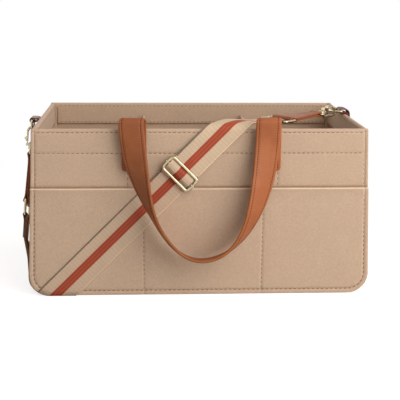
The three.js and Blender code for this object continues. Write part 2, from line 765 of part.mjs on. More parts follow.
// Ring, hook, eye, connector and strap ring of each chain
const arc = (centre, u, v, radius, from, to, steps, skipEnds = 0) => {
  const points = [];
  for (let i = skipEnds; i <= steps - skipEnds; i += 1) {
    const angle = from + ((to - from) * i) / steps;
    points.push(centre.clone()
      .addScaledVector(u, radius * Math.cos(angle))
      .addScaledVector(v, radius * Math.sin(angle)));
  }
  return points;
};
const dRing = (chain) => {
  const bow = chain.l.clone().negate();
  bow.y = 0;
  bow.normalize();
  const corner = dRingWire;
  const centre = chain.bar;
  const points = [
    ...arc(centre, AXIS_Y, bow, dRingRadius, 0, Math.PI, 22),
    centre.clone().addScaledVector(AXIS_Y, corner - dRingRadius),
    centre.clone(),
    centre.clone().addScaledVector(AXIS_Y, dRingRadius - corner),
  ];
  return wireLoop(points, AXIS_Y.clone().cross(bow), dRingWire / 2);
};
const roundedLoop = (chain, l0, l1, w1, radius, steps = 5) => {
  const corners = [[l1, w1, 0], [l0, w1, 1], [l0, -w1, 2], [l1, -w1, 3]];
  return corners.flatMap(([a, b, quarter]) => {
    const centre = chain.at(a === l1 ? a - radius : a + radius, b > 0 ? b - radius : b + radius, 0);
    return arc(centre, chain.l, chain.w, radius, quarter * Math.PI / 2, (quarter + 1) * Math.PI / 2, steps);
  });
};
const strapRing = (chain) => {
  const reach = webbingWidth / 2 + clearance * 2 + strapRingWire / 2;
  const points = roundedLoop(chain, ringBarNear, ringBarFar, reach, strapRingWire);
  return wireLoop(points, chain.n, strapRingWire / 2);
};
const connector = (chain) => {
  const ringEye = { at: ringBarFar, bore: loopBore, taper: ringTaper };
  const swivelEye = { at: eyeBar, bore: eyeWire / 2 + clearance, taper: eyeTaper };
  const profile = strapProfile(connectorLeather, ringEye, swivelEye, clearance * 4);
  const thick = acrossChain(chain, profile, -connectorWide / 2, connectorWide / 2);
  const start = ringBarFar - strapRingLength / 2;
  const shoulder = ringBarFar + ringEye.taper;
  const neck = eyeBar - swivelEye.taper;
  const end = eyeBar + strapRingLength / 2;
  const outline = polygon([
    [start, -connectorWide / 2],
    [shoulder, -connectorWide / 2],
    [neck, -connectorNarrow / 2],
    [end, -connectorNarrow / 2],
    [end, connectorNarrow / 2],
    [neck, connectorNarrow / 2],
    [shoulder, connectorWide / 2],
    [start, connectorWide / 2],
  ]);
  return meet(thick, overChain(chain, outline, -connectorWide, connectorWide));
};
const onAxis = (chain, geometry, along) => geometry
  .rotateX(Math.PI / 2)
  .applyMatrix4(new THREE.Matrix4().makeBasis(chain.w, chain.n, chain.l).setPosition(chain.at(along, 0, 0)));
const eyeHole = postRadius + clearance;
const swivelEye = (chain) => {
  const reach = connectorNarrow / 2 + clearance + eyeWire / 2;
  const loop = wireLoop(roundedLoop(chain, eyeBar, eyeTop, reach, eyeWire), chain.n, eyeWire / 2);
  const postEnd = clawStart + hookWall + clearance + headHeight;
  const post = new THREE.CylinderGeometry(postRadius, postRadius, postEnd - eyeTop, 16);
  const head = new THREE.CylinderGeometry(postRadius * headShare, postRadius * headShare, headHeight, 16);
  return join(
    loop,
    onAxis(chain, post, (postEnd + eyeTop) / 2),
    onAxis(chain, head, postEnd - headHeight / 2),
  );
};

// Snap hook: a flat claw open on one side, on a bored barrel
const mouthStart = clawStart + hookWall + clearance * 2;
const mouthEnd = wireSeat - dRingWire / 2 - clearance;
const pivotAt = mouthStart + hookWall / 2;
const clawShape = () => {
  const r = hookWidth / 2;
  const inner = r - hookWall;
  const tipAngle = (radius) => Math.acos((mouthEnd - (clawEnd - r)) / radius);
  const shape = new THREE.Shape();
  shape.moveTo(clawStart, -r + hookWall);
  shape.absarc(clawStart + hookWall, -r + hookWall, hookWall, Math.PI, Math.PI * 1.5, false);
  shape.lineTo(clawEnd - r, -r);
  shape.absarc(clawEnd - r, 0, r, -Math.PI / 2, tipAngle(r), false);
  shape.absarc(clawEnd - r, 0, inner, tipAngle(inner), -Math.PI / 2, true);
  shape.lineTo(clawStart + hookWall, -inner);
  shape.lineTo(clawStart + hookWall, inner + clearance);
  shape.lineTo(pivotAt, inner + clearance);
  shape.lineTo(clawStart + hookWall, r);
  shape.lineTo(clawStart, r);
  shape.closePath();
  return shape;
};
const hookBody = (chain) => {
  const claw = acrossChain(chain, clawShape(), -hookThickness / 2, hookThickness / 2);
  const barrel = new THREE.CylinderGeometry(barrelRadius, barrelRadius, barrelLength + overrun / 2, 20);
  const bore = new THREE.CylinderGeometry(eyeHole, eyeHole, barrelLength + hookWall + overrun * 2, 16);
  return cut(
    join(claw, onAxis(chain, barrel, barrelStart + (barrelLength + overrun / 2) / 2)),
    onAxis(chain, bore, barrelStart + (barrelLength + hookWall) / 2),
  );
};
const triggerThickness = hookThickness - clearance * 2;
const trigger = (chain) => {
  const r = hookWidth / 2;
  const inner = r - hookWall;
  const nub = hookWall * nubShare;
  const shape = new THREE.Shape();
  const root = pivotAt + clearance * 2;
  shape.moveTo(root + clearance, inner + clearance);
  shape.lineTo(mouthEnd - clearance, inner + clearance);
  shape.lineTo(mouthEnd - clearance, r - clearance);
  shape.lineTo(root + nub * 3, r - clearance);
  shape.quadraticCurveTo(root + nub * 2, r + nub * 2, root + nub, r + nub * half);
  shape.lineTo(root, r - clearance);
  shape.closePath();
  return acrossChain(chain, shape, -triggerThickness / 2, triggerThickness / 2);
};

for (const [name, chain] of Object.entries(chains)) {
  node(`${name}_d_ring`, dRing(chain), goldMaterial);
  node(`${name}_hook`, hookBody(chain), goldMaterial);
  node(`${name}_hook_trigger`, trigger(chain), goldMaterial);
  node(`${name}_swivel_eye`, swivelEye(chain), goldMaterial);
  node(`${name}_leather_connector`, connector(chain), leatherMaterial);
  node(`${name}_strap_ring`, strapRing(chain), goldMaterial);
}

// Slider on the webbing, with the webbing's humped end over its middle bar
const layerStep = webbingThickness + clearance;
const lean = (layInner - panelOuter - clearance) / (rimCentreZ - pocketHeight);
const sliderAlong = v3(1, lean, 1).normalize();
const sliderOut = v3(0, -1, lean).normalize();
const sliderAcross = sliderOut.clone().cross(sliderAlong);
const sliderZ = sliderX + webbingOffset;
const sliderBase = v3(sliderX, -layInner + lean * (sliderZ - pocketHeight), sliderZ);
const slider = {
  l: sliderAlong,
  w: sliderAcross,
  n: sliderOut,
  at: (a, b, c) => sliderBase.clone()
    .addScaledVector(sliderAlong, a)
    .addScaledVector(sliderAcross, b)
    .addScaledVector(sliderOut, c),
};
const humpStart = layerStep * 2 + clearance;
const barLevel = humpStart + webbingThickness + clearance + sliderBar / 2;
const sliderFrame = () => {
  const reach = webbingWidth / 2 + clearance * 3 + sliderBar / 2;
  const side = sliderLength / 2 - sliderBar / 2;
  const at = (a, b, c) => slider.at(a, b, c);
  const loop = roundedLoop({ ...slider, at: (a, b) => at(a, b, barLevel) }, -side, side, reach, sliderBar);
  const middle = new THREE.CylinderGeometry(sliderBar / 2, sliderBar / 2, reach * 2, wireSides)
    .applyMatrix4(new THREE.Matrix4().makeBasis(slider.l, slider.w, slider.n)
      .setPosition(at(0, 0, barLevel)));
  return join(wireLoop(loop, slider.n, sliderBar / 2), middle);
};
node('strap_slider', sliderFrame(), goldMaterial);

const humpBand = () => {
  const reach = sliderLength / 2 - sliderBar - clearance;
  const under = sliderLength / 2 + overrun;
  const over = barLevel + sliderBar / 2 + clearance + webbingThickness / 2;
  const low = humpStart + webbingThickness / 2;
  const w = slider.w.clone().multiplyScalar(webbingWidth / 2);
  const steps = 18;
  const level = (a) => {
    const share = THREE.MathUtils.clamp((reach + clearance - Math.abs(a)) / reach, 0, 1);
    return low + (over - low) * Math.sin(Math.min(share * 1.35, 1) * Math.PI / 2) ** 2;
  };
  const stations = Array.from({ length: steps + 1 }, (_, i) => {
    const a = -under + (2 * under * i) / steps;
    const rise = (level(a + clearance) - level(a - clearance)) / (2 * clearance);
    const n = slider.n.clone().addScaledVector(slider.l, -rise).normalize();
    return { p: slider.at(a, 0, level(a)), w, n, t: webbingThickness / 2 };
  });
  return band(stations);
};
node('slider_webbing_hump', humpBand(), webbingMaterial);

// Second layer of the webbing, from the slider over the rim to the right ring
const returnBand = () => {
  const until = ringBarNear - endLoopStitch - clearance;
  const start = sliderZ - rulingFront;
  const full = frontBand(layerStep, until, start);
  const reach = sliderLength / 2 + overrun;
  const keep = acrossChain(
    slider,
    roundedRectangle(-reach, -bodyDepth, bodyDepth * 2, bodyDepth, cornerRadius),
    -bodyDepth,
    bodyDepth,
  );
  return meet(full, keep);
};
node('webbing_return', returnBand(), webbingMaterial);

// The part's origin is the middle of its footprint on the floor
const box = new THREE.Box3().setFromObject(group, true);
group.position.set(-(box.min.x + box.max.x) / 2, -(box.min.y + box.max.y) / 2, 0);

export default group;
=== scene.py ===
import math

import bmesh
import bpy
import numpy as np
from mathutils import Matrix, Vector, noise


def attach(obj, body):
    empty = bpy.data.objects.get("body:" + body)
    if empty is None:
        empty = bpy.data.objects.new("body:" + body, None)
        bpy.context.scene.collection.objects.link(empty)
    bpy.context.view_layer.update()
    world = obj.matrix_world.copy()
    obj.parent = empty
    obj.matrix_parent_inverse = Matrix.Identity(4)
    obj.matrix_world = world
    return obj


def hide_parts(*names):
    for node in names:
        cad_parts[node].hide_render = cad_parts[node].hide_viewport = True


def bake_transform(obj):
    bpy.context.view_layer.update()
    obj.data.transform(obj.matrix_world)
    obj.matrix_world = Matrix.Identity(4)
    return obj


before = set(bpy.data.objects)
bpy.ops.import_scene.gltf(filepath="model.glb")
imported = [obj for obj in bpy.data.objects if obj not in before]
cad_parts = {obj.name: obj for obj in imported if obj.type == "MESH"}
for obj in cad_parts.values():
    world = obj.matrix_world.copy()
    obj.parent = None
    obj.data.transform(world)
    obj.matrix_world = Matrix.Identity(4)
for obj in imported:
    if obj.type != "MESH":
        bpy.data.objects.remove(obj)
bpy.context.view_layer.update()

# Sizes in millimetres, in the caddy's own frame. Its middle lies SHIFT to the right of the part's origin.
SHIFT = 6.9334
GAP = 0.3
QUARTER = math.pi / 2

# The body: its outline from the front, its felt sheets and the rows of its seams
HEIGHT = 194.0
CORNER = 24.0
CORNER_X = 173.0
RIM_X = 190.0
SIDE_LEAN = (CORNER_X + CORNER - RIM_X) / (HEIGHT - CORNER)
FELT = 3.0
SEAM = 5.5
PANEL = 115.0
POCKET_OUT = PANEL + GAP + FELT
POCKET_TOP = 126.5
HEM = 166.0
ROLL_Z = HEIGHT - FELT
RIM_ROWS = (190.0, 166.3)
POCKET_SEAMS = (-65, 71.5)
PANEL_SEAMS = (-83, 88)

# The webbing, whose middle line on the front is x = z - WEB_OFFSET
WEB_W, WEB_T = 35.0, 1.2
WEB_OFFSET = 168.0
LAY = POCKET_OUT + GAP


def half_width(z):
    """Half the body's width at a height."""
    if z < CORNER:
        return CORNER_X + math.sqrt(max(CORNER**2 - (CORNER - z) ** 2, 0))
    return RIM_X + SIDE_LEAN * (HEIGHT - z)


def share(value):
    """The value held between 0 and 1."""
    return min(max(value, 0), 1)


def ease(k):
    return k * k * (3 - 2 * k)


def unit(p):
    p = np.asarray(p, float)
    return p / np.linalg.norm(p)


def turned(points, back):
    """Points turned half round the caddy's upright axis, for its back."""
    return np.asarray(points, float) * ((-1, -1, 1) if back else 1)


def cubic(c, t):
    """The point at t of the Bezier curve with the corners c, and the direction there."""
    s = 1 - t
    point = s**3 * c[0] + 3 * s**2 * t * c[1] + 3 * s * t**2 * c[2] + t**3 * c[3]
    return point, 3 * s**2 * (c[1] - c[0]) + 6 * s * t * (c[2] - c[1]) + 3 * t**2 * (c[3] - c[2])


def turns(start, end, count):
    """Cosine and sine of even angles."""
    return [(math.cos(a), math.sin(a)) for a in np.linspace(start, end, count)]


def circle(count):
    return turns(0, 2 * math.pi, count + 1)[:-1]


def lengths(points):
    """The length run at each point of a line."""
    return np.concatenate([[0], np.cumsum(np.linalg.norm(np.diff(points, axis=0), axis=1))])


def between(s, at, values):
    """The value where the length run is s."""
    return np.array([np.interp(s, at, values[:, k]) for k in range(3)])


# Materials
def srgb(*levels):
    return tuple(((c / 255 + 0.055) / 1.055) ** 2.4 if c > 10 else c / 255 / 12.92 for c in levels) + (1,)


def grey(level):
    return (level, level, level, 1)


class Tree:
    """Short calls for a node tree. A value is a number, a colour or another node's output."""

    def __init__(self, owner):
        owner.use_nodes = True
        self.owner = owner
        self.nodes, self.links = owner.node_tree.nodes, owner.node_tree.links

    def feed(self, socket, value):
        if isinstance(value, bpy.types.NodeSocket):
            self.links.new(value, socket)
        else:
            socket.default_value = value

    def add(self, kind, *values, **named):
        """Named values set the new node's properties and inputs, and the others its inputs in order."""
        made = self.nodes.new("ShaderNode" + kind)
        for key, value in named.items():
            if key in made.bl_rna.properties:
                setattr(made, key, value)
            else:
                self.feed(made.inputs[key.replace("_", " ")], value)
        for socket, value in zip(made.inputs, values):
            self.feed(socket, value)
        return made.outputs

    def noises(self, *kinds):
        """Noise in the object's own space, each by its scale, detail, roughness and distortion."""
        at = self.add("TexCoord")["Object"]
        names = ("Scale", "Detail", "Roughness", "Distortion")
        return [self.add("TexNoise", Vector=at, **dict(zip(names, kind)))[0] for kind in kinds]

    def maths(self, operation, *values):
        return self.add("Math", *values, operation=operation)[0]

    def ramp(self, source, *stops):
        """Each stop is a position and a colour, or a number for a grey."""
        made = self.nodes.new("ShaderNodeValToRGB")
        self.links.new(source, made.inputs[0])
        elements = made.color_ramp.elements
        while len(elements) < len(stops):
            elements.new(0.5)
        for element, (position, tone) in zip(elements, stops):
            element.position, element.color = position, tone if isinstance(tone, tuple) else grey(tone)
        return made.outputs[0]

    def mix(self, a, b, factor, blend="MIX"):
        made = self.nodes.new("ShaderNodeMix")
        made.data_type, made.blend_type = "RGBA", blend
        for index, value in ((0, factor), (6, a), (7, b)):
            self.feed(made.inputs[index], value)
        return made.outputs[2]

    def product(self, colour, *layers):
        for layer in layers:
            colour = self.mix(colour, layer, 1.0, "MULTIPLY")
        return colour

    def bump(self, height, strength, distance):
        return self.add("Bump", Strength=strength, Distance=distance, Height=height)[0]

    def surface(self, **inputs):
        """Sets the inputs of the material's shader and gives the material."""
        shader = self.nodes["Principled BSDF"]
        for key, value in inputs.items():
            self.feed(shader.inputs[key.replace("_", " ")], value)
        return self.owner


def felt_material(name, dark, mid, light, relief=0.35):
    """Pressed felt: close tones of matted fibre, with soft patches and a short nap."""
    tree = Tree(bpy.data.materials.new(name))
    tuft, patch, fibre, nap = tree.noises((520, 5, 0.6, 0.5), (55, 3, 0.5, 0.3), (1900, 3, 0.75, 2.5),
                                          (900, 2, 0.6, 1.6))
    tone = tree.ramp(tuft, (0.32, dark), (0.5, mid), (0.68, light))
    strand = tree.ramp(fibre, (0.34, 0.93), (0.5, 1.0), (0.66, 1.05))
    shade = tree.ramp(patch, (0.35, 0.985), (0.65, 1.015))
    normal = tree.bump(tree.mix(nap, fibre, 0.5), relief, 0.0003)
    return tree.surface(Base_Color=tree.product(tone, strand, shade), Normal=normal, Roughness=0.95,
                        Sheen_Weight=0.12, Sheen_Roughness=0.6, Specular_IOR_Level=0.15)


def leather_material(name, base, deep, rough=0.46, relief=0.2):
    """Smooth dyed leather: faint clouds, paler towards the right as painted light from that side, with a
    fine pebbled grain and pores.
    """
    tree = Tree(bpy.data.materials.new(name))
    cloud, fleck, pores = tree.noises((45, 4, 0.55, 0.3), (700, 3, 0.6, 0.4), (1700, 3, 0.6, 0))
    at = tree.add("TexCoord")["Object"]
    cells = tree.add("TexVoronoi", Scale=1100, feature="DISTANCE_TO_EDGE", Vector=at)[0]
    from_left = tree.maths("MULTIPLY_ADD", tree.add("SeparateXYZ", at)[0], 4.0, 0.5)
    # Painted light: darker on the left and paler towards the right, as if lit from the right; the far right
    # end is brought down again
    painted_light_from_right = tree.ramp(from_left, (0.1, 0.87), (0.5, 0.93), (0.88, 1.25), (0.95, 0.95))
    tone = tree.ramp(cloud, (0.3, deep), (0.7, base))
    dye = tree.ramp(fleck, (0.35, 0.95), (0.65, 1.04))
    polish = tree.ramp(cloud, (0.3, rough + 0.06), (0.7, rough - 0.04))
    normal = tree.bump(tree.mix(cells, pores, 0.35), relief, 0.0002)
    return tree.surface(Base_Color=tree.product(tone, dye, painted_light_from_right), Normal=normal, Roughness=polish,
                        Specular_IOR_Level=0.25)


def webbing_material(name):
    """Ribbed webbing with a rust stripe down its middle; its map is u across and v along, in widths."""
    tree = Tree(bpy.data.materials.new(name))
    do = tree.maths
    across, along, _ = tree.add("SeparateXYZ", tree.add("UVMap", uv_map="strap")[0])

    def wave(value, per_width):
        return do("MULTIPLY_ADD", do("SINE", do("MULTIPLY", value, 2 * math.pi * per_width)), 0.5, 0.5)

    cloud, yarn = tree.noises((70, 3, 0.5, 0.2), (1400, 2, 0.6, 0.5))
    ribs = do("MULTIPLY_ADD", wave(along, WEB_W / 2.2), 0.6, do("MULTIPLY", wave(along, WEB_W / 4.4), 0.4))
    from_middle = do("ABSOLUTE", do("SUBTRACT", across, 0.5))
    stripe = tree.ramp(from_middle, (0.137, 1.0), (0.147, 0.0))
    cords = do("POWER", wave(do("ADD", do("MULTIPLY", from_middle, 10.6), -0.25), 1.0), 0.5)
    beige = tree.mix(srgb(194, 167, 140), srgb(209, 183, 156), ribs)
    rust = tree.mix(srgb(146, 62, 44), srgb(174, 82, 58), cords)
    # Painted highlight and painted shadow: a bright line with a dark line inside it along one edge, and a
    # dark line along the other
    edge = tree.ramp(across, (0.0, 1.35), (0.032, 1.3), (0.042, 0.84), (0.06, 1.0), (0.95, 1.0),
                     (0.965, 0.42))
    # Painted sheen: from about the slider up towards the rim the strap is painted lighter and a little
    # yellower
    painted_sheen = tree.ramp(do("DIVIDE", along, 10.0), (0.5, 1.0), (0.72, (1.12, 1.15, 1.12, 1)))
    worn = tree.ramp(cloud, (0.3, 0.96), (0.7, 1.03))
    fleck = tree.ramp(yarn, (0.3, 0.94), (0.7, 1.05))
    height = do("ADD", ribs, do("MULTIPLY", do("MULTIPLY", cords, stripe), 0.6))
    return tree.surface(Base_Color=tree.product(tree.mix(beige, rust, stripe), worn, fleck, edge, painted_sheen),
                        Normal=tree.bump(height, 0.35, 0.0002), Roughness=0.65, Specular_IOR_Level=0.12)


def thread_material(name, colour):
    tree = Tree(bpy.data.materials.new(name))
    low = tuple(c * 0.8 for c in colour[:3]) + (1,)
    tone = tree.ramp(tree.noises((2500, 2))[0], (0.3, low), (0.7, colour))
    return tree.surface(Base_Color=tone, Roughness=0.8, Specular_IOR_Level=0.1)


def metal_material(name, base, deep):
    tree = Tree(bpy.data.materials.new(name))
    wear = tree.noises((240, 4))[0]
    tone = tree.ramp(wear, (0.3, deep), (0.6, base))
    return tree.surface(Base_Color=tone, Roughness=tree.ramp(wear, (0.3, 0.2), (0.7, 0.3)), Metallic=1.0)


FELT_MAT = felt_material("felt", srgb(192, 165, 139), srgb(199, 171, 145), srgb(205, 178, 152), 0.28)
# Painted highlight: a lighter felt for the pocket's top edge, where it catches the light
FELT_PAINTED_HIGHLIGHT_MAT = felt_material("felt_painted_highlight", srgb(222, 195, 168), srgb(230, 203, 176), srgb(238, 212, 186))
# Painted shade: a darker felt for the thin line of shade just above each pocket's top
FELT_PAINTED_SHADE_MAT = felt_material("felt_painted_shade", srgb(166, 136, 110), srgb(173, 143, 116), srgb(180, 150, 123))
BOARD_MAT = felt_material("board_felt", srgb(178, 151, 128), srgb(188, 161, 137), srgb(197, 171, 146))
TAPE_MAT = felt_material("hook_tape", srgb(158, 131, 108), srgb(170, 143, 119), srgb(182, 155, 130), 0.8)
LEATHER_MAT = leather_material("leather", srgb(160, 94, 54), srgb(146, 81, 45))
EDGE_MAT = leather_material("leather_edge", srgb(162, 94, 42), srgb(150, 82, 36), 0.4, 0.08)
DARK_LEATHER_MAT = leather_material("leather_dark", srgb(124, 68, 44), srgb(106, 56, 37))
WEBBING_MAT = webbing_material("webbing")
THREAD_MAT = thread_material("felt_thread", srgb(154, 113, 82))
LEATHER_THREAD_MAT = thread_material("leather_thread", srgb(104, 46, 24))
GOLD_MAT = metal_material("gold", srgb(198, 184, 154), srgb(172, 154, 120))
# Painted shade: a darker gold for the sides of the slider's frame
GOLD_SHADE_MAT = metal_material("gold_shade", srgb(104, 80, 46), srgb(78, 58, 32))


# Meshes
FINE_WELD = 1e-4


def build(name, verts, faces, material, uvs=None, weld=0.002, back=False):
    """A smooth mesh from points in millimetres, with points closer than weld made one."""
    me = bpy.data.meshes.new(name)
    pts = (turned(verts, back) + (SHIFT, 0, 0)) / 1000
    me.from_pydata(pts.tolist(), [], [list(map(int, f)) for f in faces])
    if uvs is not None:
        layer = me.uv_layers.new(name="strap")
        index = np.empty(len(me.loops), int)
        me.loops.foreach_get("vertex_index", index)
        layer.data.foreach_set("uv", np.asarray(uvs, np.float32)[index].ravel())
    bm = bmesh.new()
    bm.from_mesh(me)
    bmesh.ops.remove_doubles(bm, verts=bm.verts, dist=weld / 1000)
    bmesh.ops.dissolve_degenerate(bm, edges=bm.edges, dist=weld / 1000)
    bmesh.ops.recalc_face_normals(bm, faces=bm.faces)
    bm.to_mesh(me)
    bm.free()
    me.polygons.foreach_set("use_smooth", [True] * len(me.polygons))
    ob = bpy.data.objects.new(name, me)
    bpy.context.collection.objects.link(ob)
    me.materials.append(material)
    return ob


def put(ob, body, slot, *nodes):
    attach(ob, body)
    if nodes:
        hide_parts(*nodes)


def grid_faces(rows, cols, start=0, around=False, along=False):
    """Quads between rows of points; around closes each row, and along joins the last row to the first."""
    return [
        (start + r * cols + c, start + r * cols + (c + 1) % cols,
         start + (r + 1) % rows * cols + (c + 1) % cols, start + (r + 1) % rows * cols + c)
        for r in range(rows if along else rows - 1) for c in range(cols if around else cols - 1)
    ]


def tube_faces(rows, cols):
    """Rings joined in a row, with both ends closed."""
    ends = [tuple(range(first, first + cols)) for first in (0, (rows - 1) * cols)]
    return grid_faces(rows, cols, around=True) + ends


def skin_faces(rows, cols):
    """The two faces of a sheet, the second after the first."""
    return grid_faces(rows, cols) + grid_faces(rows, cols, rows * cols)


def merged(name, parts, material, back=False):
    """One mesh from several lists of points and faces."""
    verts, faces = [], []
    for v, f in parts:
        faces += [tuple(i + len(verts) for i in face) for face in f]
        verts += list(v)
    return build(name, verts, faces, material, weld=FINE_WELD, back=back)


def rounding(d, r=1.4):
    """Share of the full thickness at a distance in from a round edge."""
    k = 1 - share(d / r)
    return math.sqrt(max(1 - k * k, 0))


def groove(x, at, width=1.1):
    return math.exp(-(((x - at) / width) ** 2))


def wobble(p, size, amount):
    return amount * noise.noise(Vector(p) / size)


def lines(low, high, step, marks=(), spread=(-3.2, -1.8, -0.9, 0, 0.9, 1.8, 3.2)):
    """Values from low to high at most a step apart, and closer round each mark."""
    values = {round(low, 3), round(high, 3)}
    for m in marks:
        values |= {round(m + s, 3) for s in spread if low < m + s < high}
    fixed = sorted(values)
    for a, b in zip(fixed, fixed[1:]):
        n = max(int(math.ceil((b - a) / step)), 1)
        values |= {round(a + (b - a) * i / n, 3) for i in range(1, n)}
    return sorted(values)


# Felt sheets
EDGE_STEPS = [0, 0.12, 0.5, 1.0, 1.5, 2.6, 3.8, 4.6, 5.1, 5.5, 5.9, 6.4, 7.2, 8.8, 11, 15, 19.5, CORNER]
CORNER_ARC = turns(0, QUARTER, 10)
INNER_SKIN = 0.04
CREASE = POCKET_TOP + 0.6


def outline_sheet(name, xs, rows, point, back):
    """A sheet cut to the body's outline, from rows of height and turn over the rim.

    point(x, z, d, a) gives the middle, the normal and both half thicknesses at d from the outline.
    """
    verts, faces = [], []

    def add(grid):
        for inside in (False, True):
            faces.extend(grid_faces(len(grid), len(grid[0]), len(verts)))
            for line in grid:
                for place in line:
                    p, n, out, into = point(*place)
                    verts.append(p - n * into if inside else p + n * out)

    def upper(z, a):
        edge = half_width(z)
        left = [(-edge + d / CORNER * (edge - CORNER_X), z, d, a) for d in EDGE_STEPS[:-1]]
        return left + [(x, z, CORNER, a) for x in xs] + [(-x, z, d, a) for x, z, d, a in reversed(left)]

    add([upper(z, a) for z, a in rows])
    add([[(x, d, d, 0) for x in xs] for d in EDGE_STEPS])
    for s in (-1, 1):
        add([[(s * (CORNER_X + (CORNER - d) * across), CORNER - (CORNER - d) * down, d, 0)
              for across, down in CORNER_ARC] for d in EDGE_STEPS])
    return build(name, verts, faces, FELT_MAT, back=back)


def sewn(t, d, wave):
    """Half thickness at d from the outline: drawn in at the seam, and a little uneven further in."""
    return t - 0.9 * groove(d, SEAM, 1.2) * (t > 0) + wave * share((d - 1) / 8)


def panel(name, back):
    """The front or back sheet, whose top rolls in over the rim and comes down inside as the hem."""
    roll = FELT / 2
    rows = [(z, 0) for z in lines(CORNER, ROLL_Z, 7, (CREASE, *RIM_ROWS))]
    rows += [(ROLL_Z + roll * math.sin(a), a) for a in np.linspace(0, math.pi, 9)[1:]]
    hem = {*lines(HEM, ROLL_Z, 6)[:-1], *(HEM + e for e in (0.12, 0.5, 1.0, 1.4, 2.6))}
    rows += [(z, math.pi) for z in sorted(hem, reverse=True)]

    def point(x, z, d, a):
        t = roll * rounding(d)
        out = t
        if a == 0:
            out = sewn(t, d, wobble((x, z, 3.1), 38, 0.3)) - groove(z, CREASE, 1.3)
            out -= 0.6 * sum(groove(z, row) for row in RIM_ROWS)
            out -= 0.4 * sum(groove(x, seam) for seam in PANEL_SEAMS) * (POCKET_TOP < z < HEM)
        elif a == math.pi:
            t *= rounding(z - HEM)
            out = t
            if z < ROLL_Z - 0.01:
                limit = half_width(z) - SEAM - FELT - GAP
                x = min(max(x, -limit), limit)
        p = np.array([x, -(PANEL - FELT) - roll * math.cos(a), z])
        n = np.array([0, -math.cos(a), math.sin(a)])
        return p, n, max(out, 0) if t else 0, max(t - INNER_SKIN, 0)

    return outline_sheet(name, lines(-CORNER_X, CORNER_X, 8, PANEL_SEAMS), rows, point, back)


def pocket(name, back):
    """The sheet sewn over the lower part, whose mouth stands a little open."""
    mouth, opening = 12, 1.3
    zs = lines(CORNER, POCKET_TOP - FELT, 7) + [POCKET_TOP - e for e in (2.2, 1.5, 1.0, 0.5, 0.12, 0)]

    def point(x, z, d, a):
        t = FELT / 2 * rounding(d) * rounding(POCKET_TOP - z)
        out = sewn(t, d, wobble((x, z, 9.4), 42, 0.28))
        out -= 0.75 * sum(groove(x, seam, 1.3) for seam in POCKET_SEAMS) * (t > 0)
        lip = opening * share((z - POCKET_TOP + mouth) / mouth) ** 2 * min(d / SEAM, 1)
        p = np.array([x, -(POCKET_OUT - FELT / 2) - lip, z])
        return p, np.array([0, -1.0, 0]), max(out, 0) if t else 0, t

    xs = lines(-CORNER_X, CORNER_X, 8, POCKET_SEAMS)
    return outline_sheet(name, xs, [(z, 0) for z in zs], point, back)


def paint_level(ob, low, high, material):
    """Faces whose middles lie between two heights get another tone of the same felt: a painted shade or a
    painted highlight.
    """
    ob.data.materials.append(material)
    for face in ob.data.polygons:
        if low < face.center.z * 1000 < high:
            face.material_index = 1
    return ob


for end, back in (("front", False), ("back", True)):
    # The panel is painted darker just above the pocket's top, as painted shade
    sheet = paint_level(panel(f"{end}_panel_felt", back), POCKET_TOP - 0.2, POCKET_TOP + 1.6, FELT_PAINTED_SHADE_MAT)
    put(sheet, "caddy", "felt", f"{end}_panel")
    # The pocket's top edge is painted lighter, as a painted highlight
    sheet = paint_level(pocket(f"{end}_pocket_felt", back), POCKET_TOP - 1.2, POCKET_TOP + 1, FELT_PAINTED_HIGHLIGHT_MAT)
    put(sheet, "caddy", "felt", f"{end}_pocket")


def gusset_section(seam_y, wall, deep):
    """Across the side strip: depth in from the outline, y, and the direction that faces out."""
    bend = 1.7
    section = [(deep - e, -seam_y, 0, -1) for e in (0, 0.12, 0.5, 1.0, 1.5, 3.0)]
    section += [(wall + bend - bend * s, -seam_y + bend - bend * c, -s, -c) for c, s in turns(0, QUARTER, 6)]
    section += [(wall, y, -1, 0) for y in lines(-(seam_y - bend), 0, 8)[1:]]
    return section + [(d, -y, nd, -ny) for d, y, nd, ny in reversed(section[:-1])]


def gusset_path():
    """Along the side strip: x, z, the direction that faces in, and the turn over the rim."""
    fold = [(ROLL_Z + math.sin(a) * FELT / 2, a) for a in np.linspace(0, math.pi, 8)[1:]]
    fold += [(z, math.pi) for z in (188, 182, 175, 169)]
    fold += [(HEM + e, math.pi) for e in (1.4, 0.9, 0.4, 0.1, 0)]
    left = [(-half_width(z), z, 1, 0, a) for z, a in reversed(fold)]
    left += [(-half_width(z), z, 1, 0, None) for z in reversed(lines(CORNER, ROLL_Z, 7, RIM_ROWS))]
    left += [(-CORNER_X - CORNER * c, CORNER - CORNER * s, c, s, None) for c, s in CORNER_ARC[1:]]
    left += [(x, 0, 0, 1, None) for x in lines(-CORNER_X, 0, 12)[1:]]
    return left + [(-x, z, -nx, nz, a) for x, z, nx, nz, a in reversed(left[:-1])]


def gusset():
    """The side and base strip: its edges turn in behind the panels, and its ends roll in over the rim."""
    wall, deep = FELT / 2, SEAM + FELT
    section, path = gusset_section(PANEL - FELT - GAP - FELT / 2, wall, deep), gusset_path()
    limit = PANEL - 2 * FELT - 2 * GAP
    outer, inner = [], []
    for x, z, in_x, in_z, a in path:
        for d, y, nd, ny in section:
            t = FELT / 2 * rounding(deep - d)
            out, up = t, 0
            if a is not None:
                y = min(max(y, -limit), limit)
                d, nd, ny, up = wall + FELT / 2 * (1 - math.cos(a)), -math.cos(a), 0, math.sin(a)
                if a == math.pi:
                    t *= rounding(z - HEM)
                    out = t
            elif abs(d - wall) < 0.01 and z > CORNER:
                out += wobble((x, y, z), 40, 0.3) - 0.45 * sum(groove(z, row) for row in RIM_ROWS)
            p = np.array([x + in_x * d, y, z + in_z * d])
            n = np.array([in_x * nd, ny, in_z * nd + up])
            outer.append(p + n * out)
            inner.append(p - n * (t - INNER_SKIN * (t > 0)))
    return build("side_gusset_felt", outer + inner, skin_faces(len(path), len(section)), FELT_MAT)


put(gusset(), "caddy", "felt", "side_and_base_gusset")

